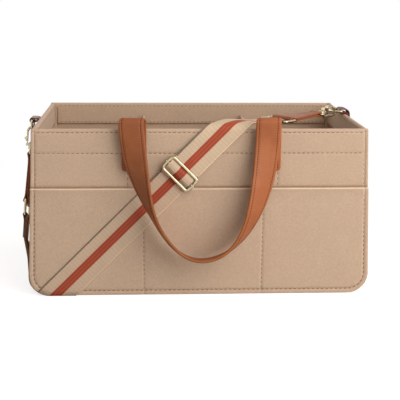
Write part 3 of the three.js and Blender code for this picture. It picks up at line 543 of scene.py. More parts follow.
# Dividers with a flap folded at each end, hook tape on the flaps, and the base board
DIVIDER_X = 65.5
DIVIDER_LOW, FLAP_TOP, WEB_TOP = 8.8, 165.7, 178.0
FLAP_Y, WEB_Y = 108.7, 105.7
FLAP_CORNER = ((25, 6), (24.88, 4.8), (24.5, 3.4), (23.6, 1.9), (22, 0.8), (19, 0), (12, 0), (6, 0))
FLAP_BEND = 2.2
DIVIDER_ENDS = (0, 0.4, 0.75, 0.95)
DIVIDER_HALF, DIVIDER_LEAN = 1.6, 0.9
TAPE_NEAR, TAPE_FAR, TAPE_LOW, TAPE_TOP, TAPE_T = 68.5, 87.5, 20.8, 153.7, 1.2
TAPE_YS = (("front", -111.7), ("back", 110.5))
BOARD_X, BOARD_Y, BOARD_LOW, BOARD_T = 173, 108.4, 3.3, 5


def divider_plan(side):
    """From above, flap to flap: x, y, the direction that faces out, and the height of the top."""
    x0 = side * DIVIDER_X
    plan = [(x0 + side * e, -FLAP_Y, 0, 1, FLAP_TOP - drop) for e, drop in FLAP_CORNER]
    plan += [(x0 + side * (FLAP_BEND - FLAP_BEND * s), -FLAP_Y + FLAP_BEND - FLAP_BEND * c,
              side * s, c, FLAP_TOP) for c, s in turns(0, QUARTER, 6)]
    plan.append((x0, -WEB_Y - 0.02, side, 0, FLAP_TOP))
    plan += [(x0, y, side, 0, WEB_TOP) for y in lines(-WEB_Y, 0, 9)]
    return plan + [(x, -y, nx, -ny, top) for x, y, nx, ny, top in reversed(plan[:-1])]


def divider(name, side):
    plan = divider_plan(side)
    near = [e / 150 for e in (0, 0.12, 0.5, 1.0, 1.6)]
    levels = near + list(np.linspace(0.03, 0.97, 16)) + [1 - e for e in reversed(near)]
    skins = [[], []]
    for v in levels:
        for i, (x, y, nx, ny, top) in enumerate(plan):
            z = DIVIDER_LOW + (top - DIVIDER_LOW) * v
            end = min(i, len(plan) - 1 - i)
            t = DIVIDER_HALF * rounding(z - DIVIDER_LOW) * rounding(top - z)
            t *= DIVIDER_ENDS[end] if end < len(DIVIDER_ENDS) else 1
            lean = 0 if abs(y) > 100 else DIVIDER_LEAN * math.cos(y / 100 * QUARTER) * v**2 * side
            bulge = wobble((x, y, z), 45, 0.25) * (t > 1.4)
            p, n = np.array([x + lean, y, z]), np.array([nx, ny, 0.0])
            skins[0].append(p + n * (t + bulge))
            skins[1].append(p - n * (t - bulge))
    return build(name, skins[0] + skins[1], skin_faces(len(levels), len(plan)), FELT_MAT)


def rounded_rect(x0, y0, x1, y1, r, n=6):
    """Points round a rectangle, each with the direction that faces out."""
    pts = []
    for cx, cy, a0 in ((x1 - r, y1 - r, 0), (x0 + r, y1 - r, 1), (x0 + r, y0 + r, 2), (x1 - r, y0 + r, 3)):
        pts += [(cx + r * c, cy + r * s, c, s) for c, s in turns(a0 * QUARTER, (a0 + 1) * QUARTER, n)]
    return pts


def pad(name, outline, low, high, place, material, edge):
    """A flat pad with a round edge; its two faces are drawn in once more to lie flat."""
    mid, reach, flat = (low + high) / 2, (high - low) / 2, 6
    rings = [(flat, low)]
    for c, s in turns(-QUARTER, QUARTER, 9):
        rings.append((edge * (1 - c), mid + (reach - edge) * np.sign(s) + edge * s))
    rings.append((flat, high))
    verts = [place(x - nx * inset, y - ny * inset, h) for inset, h in rings for x, y, nx, ny in outline]
    return build(name, verts, tube_faces(len(rings), len(outline)), material)


for label, side in (("left", -1), ("right", 1)):
    body = f"divider_{label}"
    put(divider(f"divider_{label}_felt", side), body, "felt", f"divider_{label}")
    a, b = sorted((side * TAPE_NEAR, side * TAPE_FAR))
    outline = rounded_rect(a, TAPE_LOW, b, TAPE_TOP, 3)
    for end, y0 in TAPE_YS:
        strip = pad(f"divider_{label}_{end}_hook_tape", outline, y0, y0 + TAPE_T,
                    lambda x, z, y: (x, y, z), TAPE_MAT, 0.5)
        put(strip, body, "hook_tape", f"divider_{label}_{end}_tape")
base = pad("base_insert_felt", rounded_rect(-BOARD_X, -BOARD_Y, BOARD_X, BOARD_Y, 8, 8), BOARD_LOW,
           BOARD_LOW + BOARD_T, lambda x, y, z: (x, y, z), BOARD_MAT, 1.6)
put(base, "caddy", "board", "base_insert")


# Straps: a round-edged section swept along stations
def strap_section(half_w, half_t, crown=0.0, stitch=0.0, n=9):
    """Across and height of each point; the faces swell by crown, with a dip where the stitches lie."""
    points = []
    for side in (1, -1):
        for s in np.linspace(-1, 1, n):
            a = s * (half_w - half_t) * side
            lift = half_t + crown * (1 - (abs(a) / half_w) ** 4)
            if stitch and abs(abs(a) - (half_w - stitch)) < 0.9:
                lift -= 0.35
            points.append((a, lift * side))
        for k in (0.25, 0.5, 0.75):
            t = QUARTER * (1 - 2 * k)
            points.append(((half_w - half_t + half_t * math.cos(t)) * side, half_t * math.sin(t) * side))
    return points


def sweep(name, stations, section, material, closed=False, back=False, edge=None):
    """Each station is a centre, the directions across and out, and shares of the width and thickness."""
    verts, uvs, run, last = [], [], 0.0, stations[0][0]
    for p, w, n, wide, thick in stations:
        run += float(np.linalg.norm(p - last))
        last = p
        for a, b in section:
            verts.append(p + w * a * wide + n * b * thick)
            uvs.append((0.5 + a / WEB_W, run / WEB_W))
    rows, cols = len(stations), len(section)
    faces = grid_faces(rows, cols, around=True, along=True) if closed else tube_faces(rows, cols)
    ob = build(name, verts, faces, material, uvs, back=back)
    if edge:
        paint_edges(ob, edge, *(turned([s[k] for s in stations], back) for k in (0, 1)))
    return ob


def paint_edges(ob, material, middles, sides):
    """Faces that look sideways along the strap's width are its cut and painted edges."""
    ob.data.materials.append(material)
    for face in ob.data.polygons:
        at = np.array(face.center) * 1000 - (SHIFT, 0, 0)
        w = sides[np.argmin(np.linalg.norm(middles - at, axis=1))]
        if abs(np.dot(face.normal, w)) > 0.75:
            face.material_index = 1


# Stitches: short threads lying in their grooves. A row is its points and their normals.
STITCH_RINGS = ((-1, 0.25, 0.35), (-0.75, 0.8, 0), (0, 1, 0), (0.75, 0.8, 0), (1, 0.25, 0.35))
FELT_STITCH = dict(pitch=5.4, length=2.9, radius=0.55, depth=0.2)
HANDLE_STITCH = dict(pitch=2.9, length=2.0, radius=0.45, depth=0.12)
CONNECTOR_STITCH = dict(pitch=3.3, length=2.2, radius=0.3, depth=0.1)
TAB_STITCH = dict(pitch=3.2, length=2.2, radius=0.3, depth=0.05)
STITCH_ROUND = circle(6)
FRONT, REAR = (0, -1, 0), (0, 1, 0)


def stitch(centre, n, t, length, radius, depth):
    """One thread along t; each ring has its place, its share of the radius and how far it sinks."""
    w = np.cross(n, t)
    verts = []
    for k, wide, sink in STITCH_RINGS:
        r, drop = radius * wide, depth + sink * radius
        verts += [centre + t * k * length / 2 + w * r * c + n * (r * s - drop) for c, s in STITCH_ROUND]
    return verts, tube_faces(len(STITCH_RINGS), len(STITCH_ROUND))


def stitches(name, rows, material, pitch, length, radius, depth, back=False):
    threads = []
    for points, normals in rows:
        pts, nrm = np.asarray(points, float), np.asarray(normals, float)
        at = lengths(pts)
        count = max(int(at[-1] / pitch), 1)
        for s in (np.arange(count) + 0.5) * at[-1] / count:
            t = unit(between(min(s + 0.5, at[-1]), at, pts) - between(max(s - 0.5, 0), at, pts))
            threads.append(stitch(between(s, at, pts), unit(between(s, at, nrm)), t, length, radius, depth))
    return merged(name, threads, material, back)


def straight_row(start, end, normal):
    return [start, end], [normal] * 2


def outline_row(top_z, low_z, y):
    """Down the left side along the seam, and round the base to the right where it reaches so low."""
    pts = [(-half_width(z) + SEAM, y, z) for z in np.linspace(top_z, max(low_z, CORNER), 20)]
    if low_z < CORNER:
        r = CORNER - SEAM
        pts += [(-CORNER_X - r * c, y, CORNER - r * s) for c, s in CORNER_ARC[1:]]
        pts += [(x, y, SEAM) for x in np.linspace(-CORNER_X, 0, 20)[1:]]
        pts += [(-x, y, z) for x, y, z in reversed(pts[:-1])]
    return pts, [FRONT] * len(pts)


def front_seams():
    """Rows on the rim and hem, outside and in, along the outline, and up the pockets and the panel."""
    edge = half_width(RIM_ROWS[0]) - SEAM
    inner = edge - FELT - 3
    panel_y, pocket_y, hem_y = -PANEL + 0.4, -POCKET_OUT + 0.6, -PANEL + 2 * FELT
    rows = [straight_row((-edge, panel_y, z), (edge, panel_y, z), FRONT) for z in RIM_ROWS]
    rows += [straight_row((-inner, hem_y, z), (inner, hem_y, z), REAR) for z in (RIM_ROWS[0], HEM + 2.5)]
    rows.append(outline_row(POCKET_TOP - 1, 0, -POCKET_OUT + 0.45))
    pts, normals = outline_row(RIM_ROWS[0] - 2, POCKET_TOP + 2, panel_y)
    rows += [(pts, normals), ([(-x, y, z) for x, y, z in pts], normals)]
    rows += [straight_row((x, pocket_y, 6), (x, pocket_y, POCKET_TOP - 1), FRONT) for x in POCKET_SEAMS]
    rows += [straight_row((x, -PANEL + 0.3, 128), (x, -PANEL + 0.3, 164), FRONT) for x in PANEL_SEAMS]
    return rows


def side_seams():
    rows = []
    for s in (-1, 1):
        for z in RIM_ROWS:
            for inset, facing in ((0.35, s), (2 * FELT - 0.05, -s)):
                x = s * (half_width(z) - inset)
                rows.append(straight_row((x, -104, z), (x, 104, z), (facing, 0, 0)))
    return rows


put(stitches("front_seam_thread", front_seams(), THREAD_MAT, **FELT_STITCH), "caddy", "felt")
put(stitches("back_seam_thread", front_seams(), THREAD_MAT, **FELT_STITCH, back=True), "caddy", "felt")
put(stitches("side_seam_thread", side_seams(), THREAD_MAT, **FELT_STITCH), "caddy", "felt")

# Handles: tab, fold and loop in one strip of leather. A limb's shares are of its reach and drop.
HANDLE_W, HANDLE_T = 28.0, 3.2
HANDLE_X = 76.5
HANDLE_SEAM = 3.6
TAB_Y = PANEL + GAP + HANDLE_T / 2
TAB_DROP, TAB_CORNER = 48, 4.5
TAB_SHIFT = {-1: 1.0, 1: 0.0}
FOLD = 4.7
FOLD_Y = TAB_Y + FOLD
FOLD_Z = {"front": HEIGHT + 7.4, "back": HEIGHT - 8}
FOLD_BLEND = (0.1188, 0.1244)
LIMB_Y = FOLD_Y + FOLD
DRIFT, DROP, SWELL, FULL_TWIST = -1.9, 153.5, 15.3, 0.874 * QUARTER
LIMB_SHARES = {
    -1: [(1, 0), (0.975, 0.36), (0.603, 1), (-0.021, 1)],
    1: [(1, 0), (0.981, 0.603), (0.637, 1), (0.021, 1)],
}
TWIST_SHARE = {-1: 0.66, 1: 0.96}


def tab_stations(side, fold_z):
    """Up the tab on one side and round the fold."""
    x, w, low = side * HANDLE_X + TAB_SHIFT[side], np.array([-side, 0.0, 0.0]), HEIGHT - TAB_DROP
    out = []
    for z in [low + e for e in (0, 0.3, 0.9, 1.8, 3.0, 4.5, 8)] + list(np.linspace(low + 12, fold_z, 10)):
        corner = max(TAB_CORNER - (z - low), 0)
        wide = 1 - (TAB_CORNER - math.sqrt(max(TAB_CORNER**2 - corner**2, 0))) / (HANDLE_W / 2)
        thick = max(rounding(z - low, 1.2), 0.05)
        out.append((np.array([x, -TAB_Y, z]), w, np.array(REAR, float), wide, thick))
    for k in np.linspace(0, 1, 15)[1:-1]:
        n = np.array([0, math.cos(k * math.pi), math.sin(k * math.pi)])
        drift = (side * HANDLE_X + DRIFT - x) * ease(k)
        out.append((np.array([x + drift, -FOLD_Y, fold_z]) + n * FOLD, w, n, 1, 1))
    return out


def limb_stations(side, fold_z):
    """Down one limb of the loop, which turns its face outwards on the way."""
    corners = [np.array([side * a * HANDLE_X + DRIFT, 0, fold_z - b * DROP]) for a, b in LIMB_SHARES[side]]
    pts, ahead = cubic(corners, np.linspace(0, 1, 401)[:, None])
    at = lengths(pts)
    at /= at[-1]
    out = []
    for u in np.linspace(0, 1, 56):
        p, t = between(u, at, pts), unit(between(u, at, ahead)) * -side
        angle = FULL_TWIST * ease(min(u / TWIST_SHARE[side], 1))
        w = np.array([-t[2], 0, t[0]]) * math.cos(angle) + np.array(FRONT) * math.sin(angle)
        p[1] = -(LIMB_Y + SWELL * math.sin(angle))
        out.append((p, w, unit(np.cross(t, w)), 1, 1))
    return out


def handle_seams(stations):
    """Rows along both edges of both faces, and two rows across each tab."""
    rows = []
    for a in (-1, 1):
        for face in (1, -1):
            pts = [p + w * a * (HANDLE_W / 2 - HANDLE_SEAM) * wide + n * face * HANDLE_T / 2 * thick
                   for p, w, n, wide, thick in stations[4:-4]]
            rows.append((pts, [n * face for p, w, n, wide, thick in stations[4:-4]]))
    for x in (-HANDLE_X, HANDLE_X):
        for z in (HEIGHT - TAB_DROP + 4.2, HEIGHT - 14):
            for y, normal in ((-TAB_Y - HANDLE_T / 2, FRONT), (-TAB_Y + HANDLE_T / 2, REAR)):
                rows.append(straight_row((x - 10, y, z), (x + 10, y, z), normal))
    return rows


def handle(end, back):
    fold_z = FOLD_Z[end]
    stations = tab_stations(-1, fold_z) + limb_stations(-1, fold_z)
    stations += limb_stations(1, fold_z)[-2::-1] + tab_stations(1, fold_z)[::-1]
    section = strap_section(HANDLE_W / 2, HANDLE_T / 2, 0.25, HANDLE_SEAM, 23)
    strip = sweep(f"{end}_handle_leather", stations, section, LEATHER_MAT, back=back, edge=EDGE_MAT)
    thread = stitches(f"{end}_handle_thread", handle_seams(stations), LEATHER_THREAD_MAT, **HANDLE_STITCH,
                      back=back)
    s = 1 if back else -1
    start, stop = ((0, s * y, fold_z / 1000) for y in FOLD_BLEND)
    names = [f"{end}_handle_{part}" for part in ("tab_left", "tab_right", "fold_left", "fold_right", "loop")]
    for ob in (strip, thread):
        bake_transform(ob)
        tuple(start)
        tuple(stop)
    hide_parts(*names)


handle("front", False)
handle("back", True)

# Chains of hardware. Lengths run along a chain from the webbing's side of its strap ring.
RING_WIRE, EYE_WIRE, D_WIRE, D_RADIUS = 3.2, 2.4, 2.8, 13.0
STRAP_RING, LOOP_LEATHER, CONNECTOR = 21.0, 2.0, 62.0
NEAR_BAR, FAR_BAR = RING_WIRE / 2, STRAP_RING - RING_WIRE / 2
EYE_BAR = FAR_BAR + CONNECTOR - 2 * LOOP_LEATHER
EYE_LENGTH, BARREL_LENGTH, CLAW_LENGTH = 6, 4.6, 24.5
EYE_TOP = EYE_BAR + EYE_LENGTH
BARREL = EYE_TOP + EYE_WIRE / 2 + GAP
CLAW = BARREL + BARREL_LENGTH
CLAW_END = CLAW + CLAW_LENGTH
EYE_REACH, POST_R, HEAD_R, BARREL_R, COLLAR_R = 9.5, 1.6, 2.7, 3.6, 3.75
CLAW_HALF, LEVER_HALF = 2.0, 1.7
HOOK_WALL, HOOK_OUTER = 2.6, 6.5
HOOK_INNER = HOOK_OUTER - HOOK_WALL
HEAD = 1.3
PIVOT = CLAW + HOOK_WALL + 2 * GAP + HEAD
SEAT = CLAW_END - HOOK_WALL - GAP - D_WIRE / 2
MOUTH_END = SEAT - D_WIRE / 2 - GAP
CHAIN = SEAT + D_RADIUS
RING_TAB_HALF, RING_TAB_T = 10, 1.5
TAB_LOW = HEIGHT - 36


class Chain:
    """The place of one chain, with the directions ahead along it, to its side and out of it."""

    def __init__(self, bar, direction, outward):
        self.bar = np.array(bar, float)
        self.ahead = unit(direction)
        outward = np.array(outward, float)
        self.out = unit(outward - self.ahead * outward.dot(self.ahead))
        self.side = np.cross(self.out, self.ahead)
        self.origin = self.bar - self.ahead * CHAIN

    def at(self, a, b=0.0, c=0.0):
        return self.origin + self.ahead * a + self.side * b + self.out * c

    def across(self, axis):
        """The direction across, on the side where the axis counts up."""
        return self.side if self.side[axis] > 0 else -self.side


RIM_EXIT = np.array([HEIGHT - WEB_OFFSET, -(PANEL - FELT), ROLL_Z + FELT + GAP + WEB_T / 2])
RIGHT_BAR = np.array([RIM_X - 7.5, 13, HEIGHT + 3.7])
LEFT_BAR = np.array([-(half_width(HEIGHT - 6) + 10.75), 0, HEIGHT - 6])
LEFT_LEAN = (0.0065 + 1.055 * SIDE_LEAN, 0.45, 1.055)
chains = {
    "left": Chain(LEFT_BAR, LEFT_LEAN, (-1, 0, 0)),
    "right": Chain(RIGHT_BAR, RIGHT_BAR - RIM_EXIT, (0, 0, 1)),
}

# Wires and plates; a bevel has one more ring at this share of it
BEVEL_SHARE = 0.3


def wire(points, normal, radius, sides=14, flat=1.0):
    """A closed loop of wire, flattened along its normal where flat is under 1."""
    pts = [np.asarray(p, float) for p in points]
    normal = unit(normal)
    verts = []
    for i, p in enumerate(pts):
        side = unit(np.cross(pts[(i + 1) % len(pts)] - pts[i - 1], normal))
        verts += [p + side * radius * c - normal * radius * flat * s for c, s in circle(sides)]
    return verts, grid_faces(len(pts), sides, around=True, along=True)


def rounded_loop(at, low, high, reach, radius):
    """Points round a rectangle from low to high along, and as far as reach to both sides."""
    return [at(a, b) for a, b, out_a, out_b in rounded_rect(low, -reach, high, reach, radius, 7)]


def tube(start, end, radius, sides=24, edge=0.25):
    axis = unit(end - start)
    u = unit(np.cross(axis, (0.3, 0.9, 0.1)))
    v = np.cross(axis, u)
    length = np.linalg.norm(end - start)
    rings = [(0, radius - edge), (edge * BEVEL_SHARE, radius - edge * BEVEL_SHARE), (edge, radius)]
    rings += [(length - s, r) for s, r in reversed(rings)]
    verts = [start + axis * at + (u * c + v * s) * r for at, r in rings for c, s in circle(sides)]
    return verts, tube_faces(len(rings), sides)


def plate(outline, at, half_t, edge=0.6):
    """A flat plate with bevelled edges."""
    pts = np.asarray(outline, float)
    ahead, behind = np.roll(pts, -1, axis=0), np.roll(pts, 1, axis=0)
    tangent = ahead - behind
    normal = np.stack([tangent[:, 1], -tangent[:, 0]], axis=1)
    normal /= np.linalg.norm(normal, axis=1)[:, None] + 1e-9
    area = np.sum(pts[:, 0] * ahead[:, 1] - ahead[:, 0] * pts[:, 1])
    normal *= 1 if area > 0 else -1
    bevel = edge * BEVEL_SHARE
    rings = [(edge, -half_t), (bevel, bevel - half_t), (0, edge - half_t)]
    rings += [(inset, -h) for inset, h in reversed(rings)]
    verts = [at(x, h, y) for inset, h in rings for x, y in pts - normal * inset]
    return verts, tube_faces(len(rings), len(pts))


def hook_outline():
    def arc(x, y, radius, a0, a1, n):
        return [(x + radius * c, y + radius * s) for c, s in turns(a0, a1, n)]

    foot, centre = CLAW + HOOK_WALL, CLAW_END - HOOK_OUTER
    mouth = MOUTH_END - centre
    pts = arc(foot, HOOK_WALL - HOOK_OUTER, HOOK_WALL, -math.pi, -QUARTER, 5)
    pts += arc(centre, 0, HOOK_OUTER, -QUARTER, math.acos(mouth / HOOK_OUTER), 14)
    pts += arc(centre, 0, HOOK_INNER, math.acos(mouth / HOOK_INNER), -QUARTER, 12)
    step = HOOK_INNER + GAP
    return pts + [(foot, -HOOK_INNER), (foot, step), (PIVOT, step), (foot, HOOK_OUTER), (CLAW, HOOK_OUTER)]


def trigger_outline():
    """The lever that closes the hook's mouth, with a thumb nub on a curve of three corners."""
    nub = 0.8 * HOOK_WALL
    root, low, top, tip = PIVOT + 2 * GAP, HOOK_INNER + GAP, HOOK_OUTER - GAP, MOUTH_END - GAP
    a, b = (root + nub * 3, top), (root + nub * 2, HOOK_OUTER + nub * 2)
    c = (root + nub, HOOK_OUTER + nub / 2)
    pts = [(root + GAP, low), (tip, low), (tip, top), a]
    for t in (0.2, 0.4, 0.6, 0.8, 1.0):
        pts.append(tuple((1 - t) ** 2 * a[k] + 2 * t * (1 - t) * b[k] + t * t * c[k] for k in (0, 1)))
    return pts + [(root, top)]


def bar_arc(at, r, a0, a1):
    """Stations round a bar: length along the chain, height, and the direction out in both."""
    return [(at + r * c, r * s, c, s) for c, s in turns(a0, a1, 13)]


def connector(name, chain):
    """A doubled strap round the ring's bar at one end and the swivel's bar at the other."""
    half_w, half_t, rise_flat, flare, seam, seam_rise = 15.9, 0.98, 1.02, 9, 2.2, 2.02
    start, end = FAR_BAR, EYE_BAR
    r0, r1 = RING_WIRE / 2 + GAP + LOOP_LEATHER / 2, EYE_WIRE / 2 + GAP + LOOP_LEATHER / 2
    shoulder, neck = start + flare, end - 14

    def wide(a):
        return 1 - share((a - shoulder) / (neck - shoulder)) * 0.5

    lower = []
    for s in np.linspace(start, end, 22)[1:-1]:
        rise = rise_flat + (r0 - rise_flat) * share(1 - (s - start) / flare) ** 2
        lower.append((s, -(rise + (r1 - rise_flat) * share(1 - (end - s) / flare) ** 2), 0, -1))
    profile = bar_arc(start, r0, QUARTER, 3 * QUARTER) + lower + bar_arc(end, r1, -QUARTER, QUARTER)
    profile += [(s, -h, nl, -nn) for s, h, nl, nn in reversed(lower)]
    stations = [(chain.at(s, 0, h), chain.side, chain.ahead * nl + chain.out * nn, wide(s), 1)
                for s, h, nl, nn in profile]
    strap = sweep(name, stations, strap_section(half_w, half_t), LEATHER_MAT, closed=True)
    along = np.linspace(start + 6, end - 7, 20)
    rows = []
    for side in (-1, 1):
        for face in (-1, 1):
            pts = [chain.at(s, side * (half_w * wide(s) - seam), face * seam_rise) for s in along]
            rows.append((pts, [chain.out * face] * len(along)))
    return strap, stitches(name + "_thread", rows, LEATHER_THREAD_MAT, **CONNECTOR_STITCH)


def ring_tab(name, side, bar, over):
    """A folded tab on the side wall that holds the ring's bar, above the rim or outside it."""
    bore = D_WIRE / 2 + GAP + RING_TAB_T / 2
    bx, top, bottom = abs(bar[0]), bar[2] + bore, bar[2] - bore
    throat = HEIGHT + GAP if over else HEIGHT - bore * 3
    turn_z, turn = throat - RING_TAB_T, 1 if over else -1
    stations = []

    def near(z):
        return (RIM_X + SIDE_LEAN * (HEIGHT - min(z, throat)) + GAP + RING_TAB_T / 2, z)

    def far(z):
        return (near(z)[0] + RING_TAB_T + GAP, z)

    def place(x, z, tx, tz):
        stations.append((np.array([x, side * bar[1], z]), np.array(FRONT, float), unit([-tz, 0, tx]), 1, 1))

    def straight(a, b):
        for k in np.linspace(0, 1, 5)[(1 if stations else 0):]:
            place(a[0] + (b[0] - a[0]) * k, a[1] + (b[1] - a[1]) * k, b[0] - a[0], b[1] - a[1])

    def bend(*corners):
        corners = [np.array(p, float) for p in corners]
        for t in np.linspace(0, 1, 11)[1:]:
            p, ahead = cubic(corners, t)
            place(*p, *ahead)

    up, down = (far, near) if over else (near, far)
    leave_z, pull = (turn_z, bore) if over else (throat, -bore * 2)
    straight(up(TAB_LOW), up(leave_z))
    bend(up(leave_z), up(top), (bx + turn * bore * 2, top), (bx, top))
    for c, s in turns(QUARTER, QUARTER + turn * math.pi, 14)[1:-1]:
        place(bx + bore * c, bar[2] + bore * s, -turn * s, turn * c)
    place(bx, bottom, turn, 0)
    bend((bx, bottom), (bx + pull, bottom), (down(throat)[0], throat + bore), down(turn_z))
    straight(down(turn_z), down(TAB_LOW))
    section = strap_section(RING_TAB_HALF, RING_TAB_T / 2, n=7)
    leather = sweep(name, stations, section, DARK_LEATHER_MAT, back=side < 0)

    def on_face(z, y):
        return (far(z)[0] + RING_TAB_T / 2, side * bar[1] + y, z)

    low_row, top_row, half_w = TAB_LOW + 3, HEIGHT - 12, 7.6
    rows = [straight_row(on_face(low_row, y), on_face(top_row, y), (1, 0, 0)) for y in (-half_w, half_w)]
    rows += [straight_row(on_face(z, -half_w), on_face(z, half_w), (1, 0, 0)) for z in (low_row, top_row)]
    thread = stitches(name + "_thread", rows, LEATHER_THREAD_MAT, **TAB_STITCH, back=side < 0)
    return leather, thread


def d_ring(chain):
    """Half a circle and a straight bar through the tab."""
    bow, radius = unit([-chain.ahead[0], 0, -chain.ahead[2]]), np.array(REAR) * D_RADIUS
    ring = [chain.bar + radius * c + bow * D_RADIUS * s for c, s in turns(0, math.pi, 31)]
    ring += [chain.bar + np.array([0, y, 0]) for y in (-10.2, -5, 0, 5, 10.2)]
    return wire(ring, np.cross(REAR, bow), D_WIRE / 2)


def swivel(chain):
    """The eye, and the post whose head turns inside the hook."""
    eye = wire(rounded_loop(chain.at, EYE_BAR, EYE_TOP, EYE_REACH, EYE_WIRE), chain.out, EYE_WIRE / 2)
    post_end = CLAW + HOOK_WALL + GAP + HEAD
    post = tube(chain.at(EYE_TOP), chain.at(post_end), POST_R)
    return [eye, post, tube(chain.at(post_end - HEAD), chain.at(post_end), HEAD_R)]


def snap_hook(chain):
    """The claw and its barrel, with a low collar."""
    claw = plate(hook_outline(), chain.at, CLAW_HALF)
    barrel = tube(chain.at(BARREL), chain.at(CLAW + 1), BARREL_R, edge=0.6)
    return [claw, barrel, tube(chain.at(BARREL + 1.6), chain.at(BARREL + 3.0), COLLAR_R, edge=0.3)]


for label, chain in chains.items():
    loop = rounded_loop(chain.at, NEAR_BAR, FAR_BAR, WEB_W / 2 + 2 * GAP + RING_WIRE / 2, RING_WIRE)
    strap_ring = wire(loop, chain.out, RING_WIRE / 2)
    lever = plate(trigger_outline(), chain.at, LEVER_HALF, 0.4)
    for piece, parts, body, cad_node in (
        ("d_ring_wire", [d_ring(chain)], f"{label}_ring", "d_ring"),
        ("strap_ring_wire", [strap_ring], "caddy", "strap_ring"),
        ("swivel", swivel(chain), "caddy", "swivel_eye"),
        ("snap_hook", snap_hook(chain), f"{label}_snap_hook", "hook"),
        ("hook_lever", [lever], f"{label}_trigger", "hook_trigger"),
    ):
        put(merged(f"{label}_{piece}", parts, GOLD_MAT), body, "gold", f"{label}_{cad_node}")
    strap, thread = connector(f"{label}_connector_leather", chain)
    put(strap, "caddy", "leather", f"{label}_leather_connector")
    put(thread, "caddy", "leather")
for label, side, bar in (("left", -1, LEFT_BAR), ("right", 1, RIGHT_BAR)):
    leather, thread = ring_tab(f"{label}_ring_tab_leather", side, bar, side > 0)
    put(leather, "caddy", "leather_dark", f"{label}_ring_tab")
    put(thread, "caddy", "leather_dark")

# Shoulder webbing. A band is rows of places across it: middle, normal, u across and v along.
RULING = WEB_W / 2 * math.sqrt(2)
END_STITCH = 28
RIM_LIFT, RIM_TILT = 3.5, 4.5
FOLD_LAY = FELT + GAP
CORNER_LAY = CORNER + GAP
LAY_Z = WEB_T + CORNER_LAY
ACROSS = [-1, -0.985, -0.95, -0.85, -0.65, -0.4, -0.2, 0, 0.2, 0.4, 0.65, 0.85, 0.95, 0.985, 1]


def band(name, rows):
    """Both faces of the strap, with round edges and one map."""
    verts, uvs = [], []
    r, c = len(rows), len(rows[0])
    for side in (1, -1):
        for row in rows:
            for p, n, u, v in row:
                t = WEB_T / 2 * rounding((1 - abs(2 * u - 1)) * WEB_W / 2, 0.6)
                verts.append(p + n * t * side)
                uvs.append((u, v))
    faces = skin_faces(r, c)
    for i in (0, r - 1):
        faces += [(i * c + k, i * c + k + 1, r * c + i * c + k + 1, r * c + i * c + k) for k in range(c - 1)]
    return build(name, verts, faces, WEBBING_MAT, uvs)


def rim_arc(mid):
    return FOLD_LAY + mid + RIM_LIFT


def roll_point(zeta, mid):
    """A place up the front face and over the rim, by the length run so far, and its normal."""
    y0, r = LAY + mid, rim_arc(mid)
    arc_y = PANEL - FELT + FOLD_LAY + mid
    if zeta <= POCKET_TOP:
        return np.array([0, -y0, zeta]), np.array(FRONT, float)
    if zeta <= ROLL_Z:
        k = (zeta - POCKET_TOP) / (ROLL_Z - POCKET_TOP)
        return np.array([0, -(y0 + (arc_y - y0) * k), zeta]), unit([0, -1.0, 0.05])
    a = (zeta - ROLL_Z) / r
    n = np.array([0, -math.cos(a), math.sin(a)])
    return np.array([0, r - arc_y, ROLL_Z]) + n * r, n


def crease(a):
    """Height at which the ruling at a leaves the front face for the corner."""
    z = WEB_T / 2
    if a - WEB_OFFSET + z > -CORNER_X:
        return z
    r = CORNER_LAY + WEB_T / 2
    for _ in range(30):
        x = z - WEB_OFFSET + a
        z = LAY_Z - math.sqrt(max(r**2 - min(x + CORNER_X, 0) ** 2, 0))
    return z


def front_row(zetas, mid):
    """A row whose places lie at the given runs, each on its own line at 45 degrees."""
    row = []
    for s, zeta in zip(ACROSS, zetas):
        p, n = roll_point(zeta, mid)
        p[0] = zeta - WEB_OFFSET + s * RULING
        row.append((p, n, 0.5 - s / 2, (p[0] + WEB_OFFSET + zeta) / math.sqrt(2) / WEB_W))
    return row


def over_the_rim(last, mid, until):
    """From the rim the band turns to follow the right chain to its ring, its front edge low."""
    chain = chains["right"]
    ahead = np.array([1.0, 1.0, 0]) / math.sqrt(2)
    start = [p for p, n, u, v in last]
    goal = [chain.at(until, 0, mid - WEB_T / 2) + chain.across(0) * (s * WEB_W / 2) for s in ACROSS]
    rows = []
    for k in np.linspace(0, 1, 14)[1:]:
        tilt = RIM_TILT * math.sin(QUARTER * min(k / 0.7, 1)) * math.cos(QUARTER * k)
        n = unit(np.array([0, -tilt / WEB_W, 1.0]) * (1 - k) + chain.out * k)
        row = []
        for j, s in enumerate(ACROSS):
            reach = np.linalg.norm(goal[j] - start[j])
            corners = (start[j], start[j] + ahead * reach / 3, goal[j] - chain.ahead * reach / 3, goal[j])
            p = cubic(corners, k)[0] + np.array([0, 0, tilt * (1 - s) / 2])
            row.append((p, n, 0.5 - s / 2, last[j][3] + reach * k / WEB_W))
        rows.append(row)
    return rows


def front_band():
    """From the corner up the front and over the rim, in line with the solids' rulings."""
    mid, low = WEB_T / 2, 45
    starts = [crease(s * RULING) for s in ACROSS]
    rows = [front_row([z + (low - z) * k for z in starts], mid) for k in np.linspace(0, 1, 8)]
    runs = list(np.linspace(52, POCKET_TOP, 10)) + list(np.linspace(POCKET_TOP, ROLL_Z, 9))[1:]
    runs += list(np.linspace(ROLL_Z, ROLL_Z + rim_arc(mid) * QUARTER, 9))[1:]
    rows += [front_row([run] * len(ACROSS), mid) for run in runs]
    return rows + over_the_rim(rows[-1], mid, -14.0)


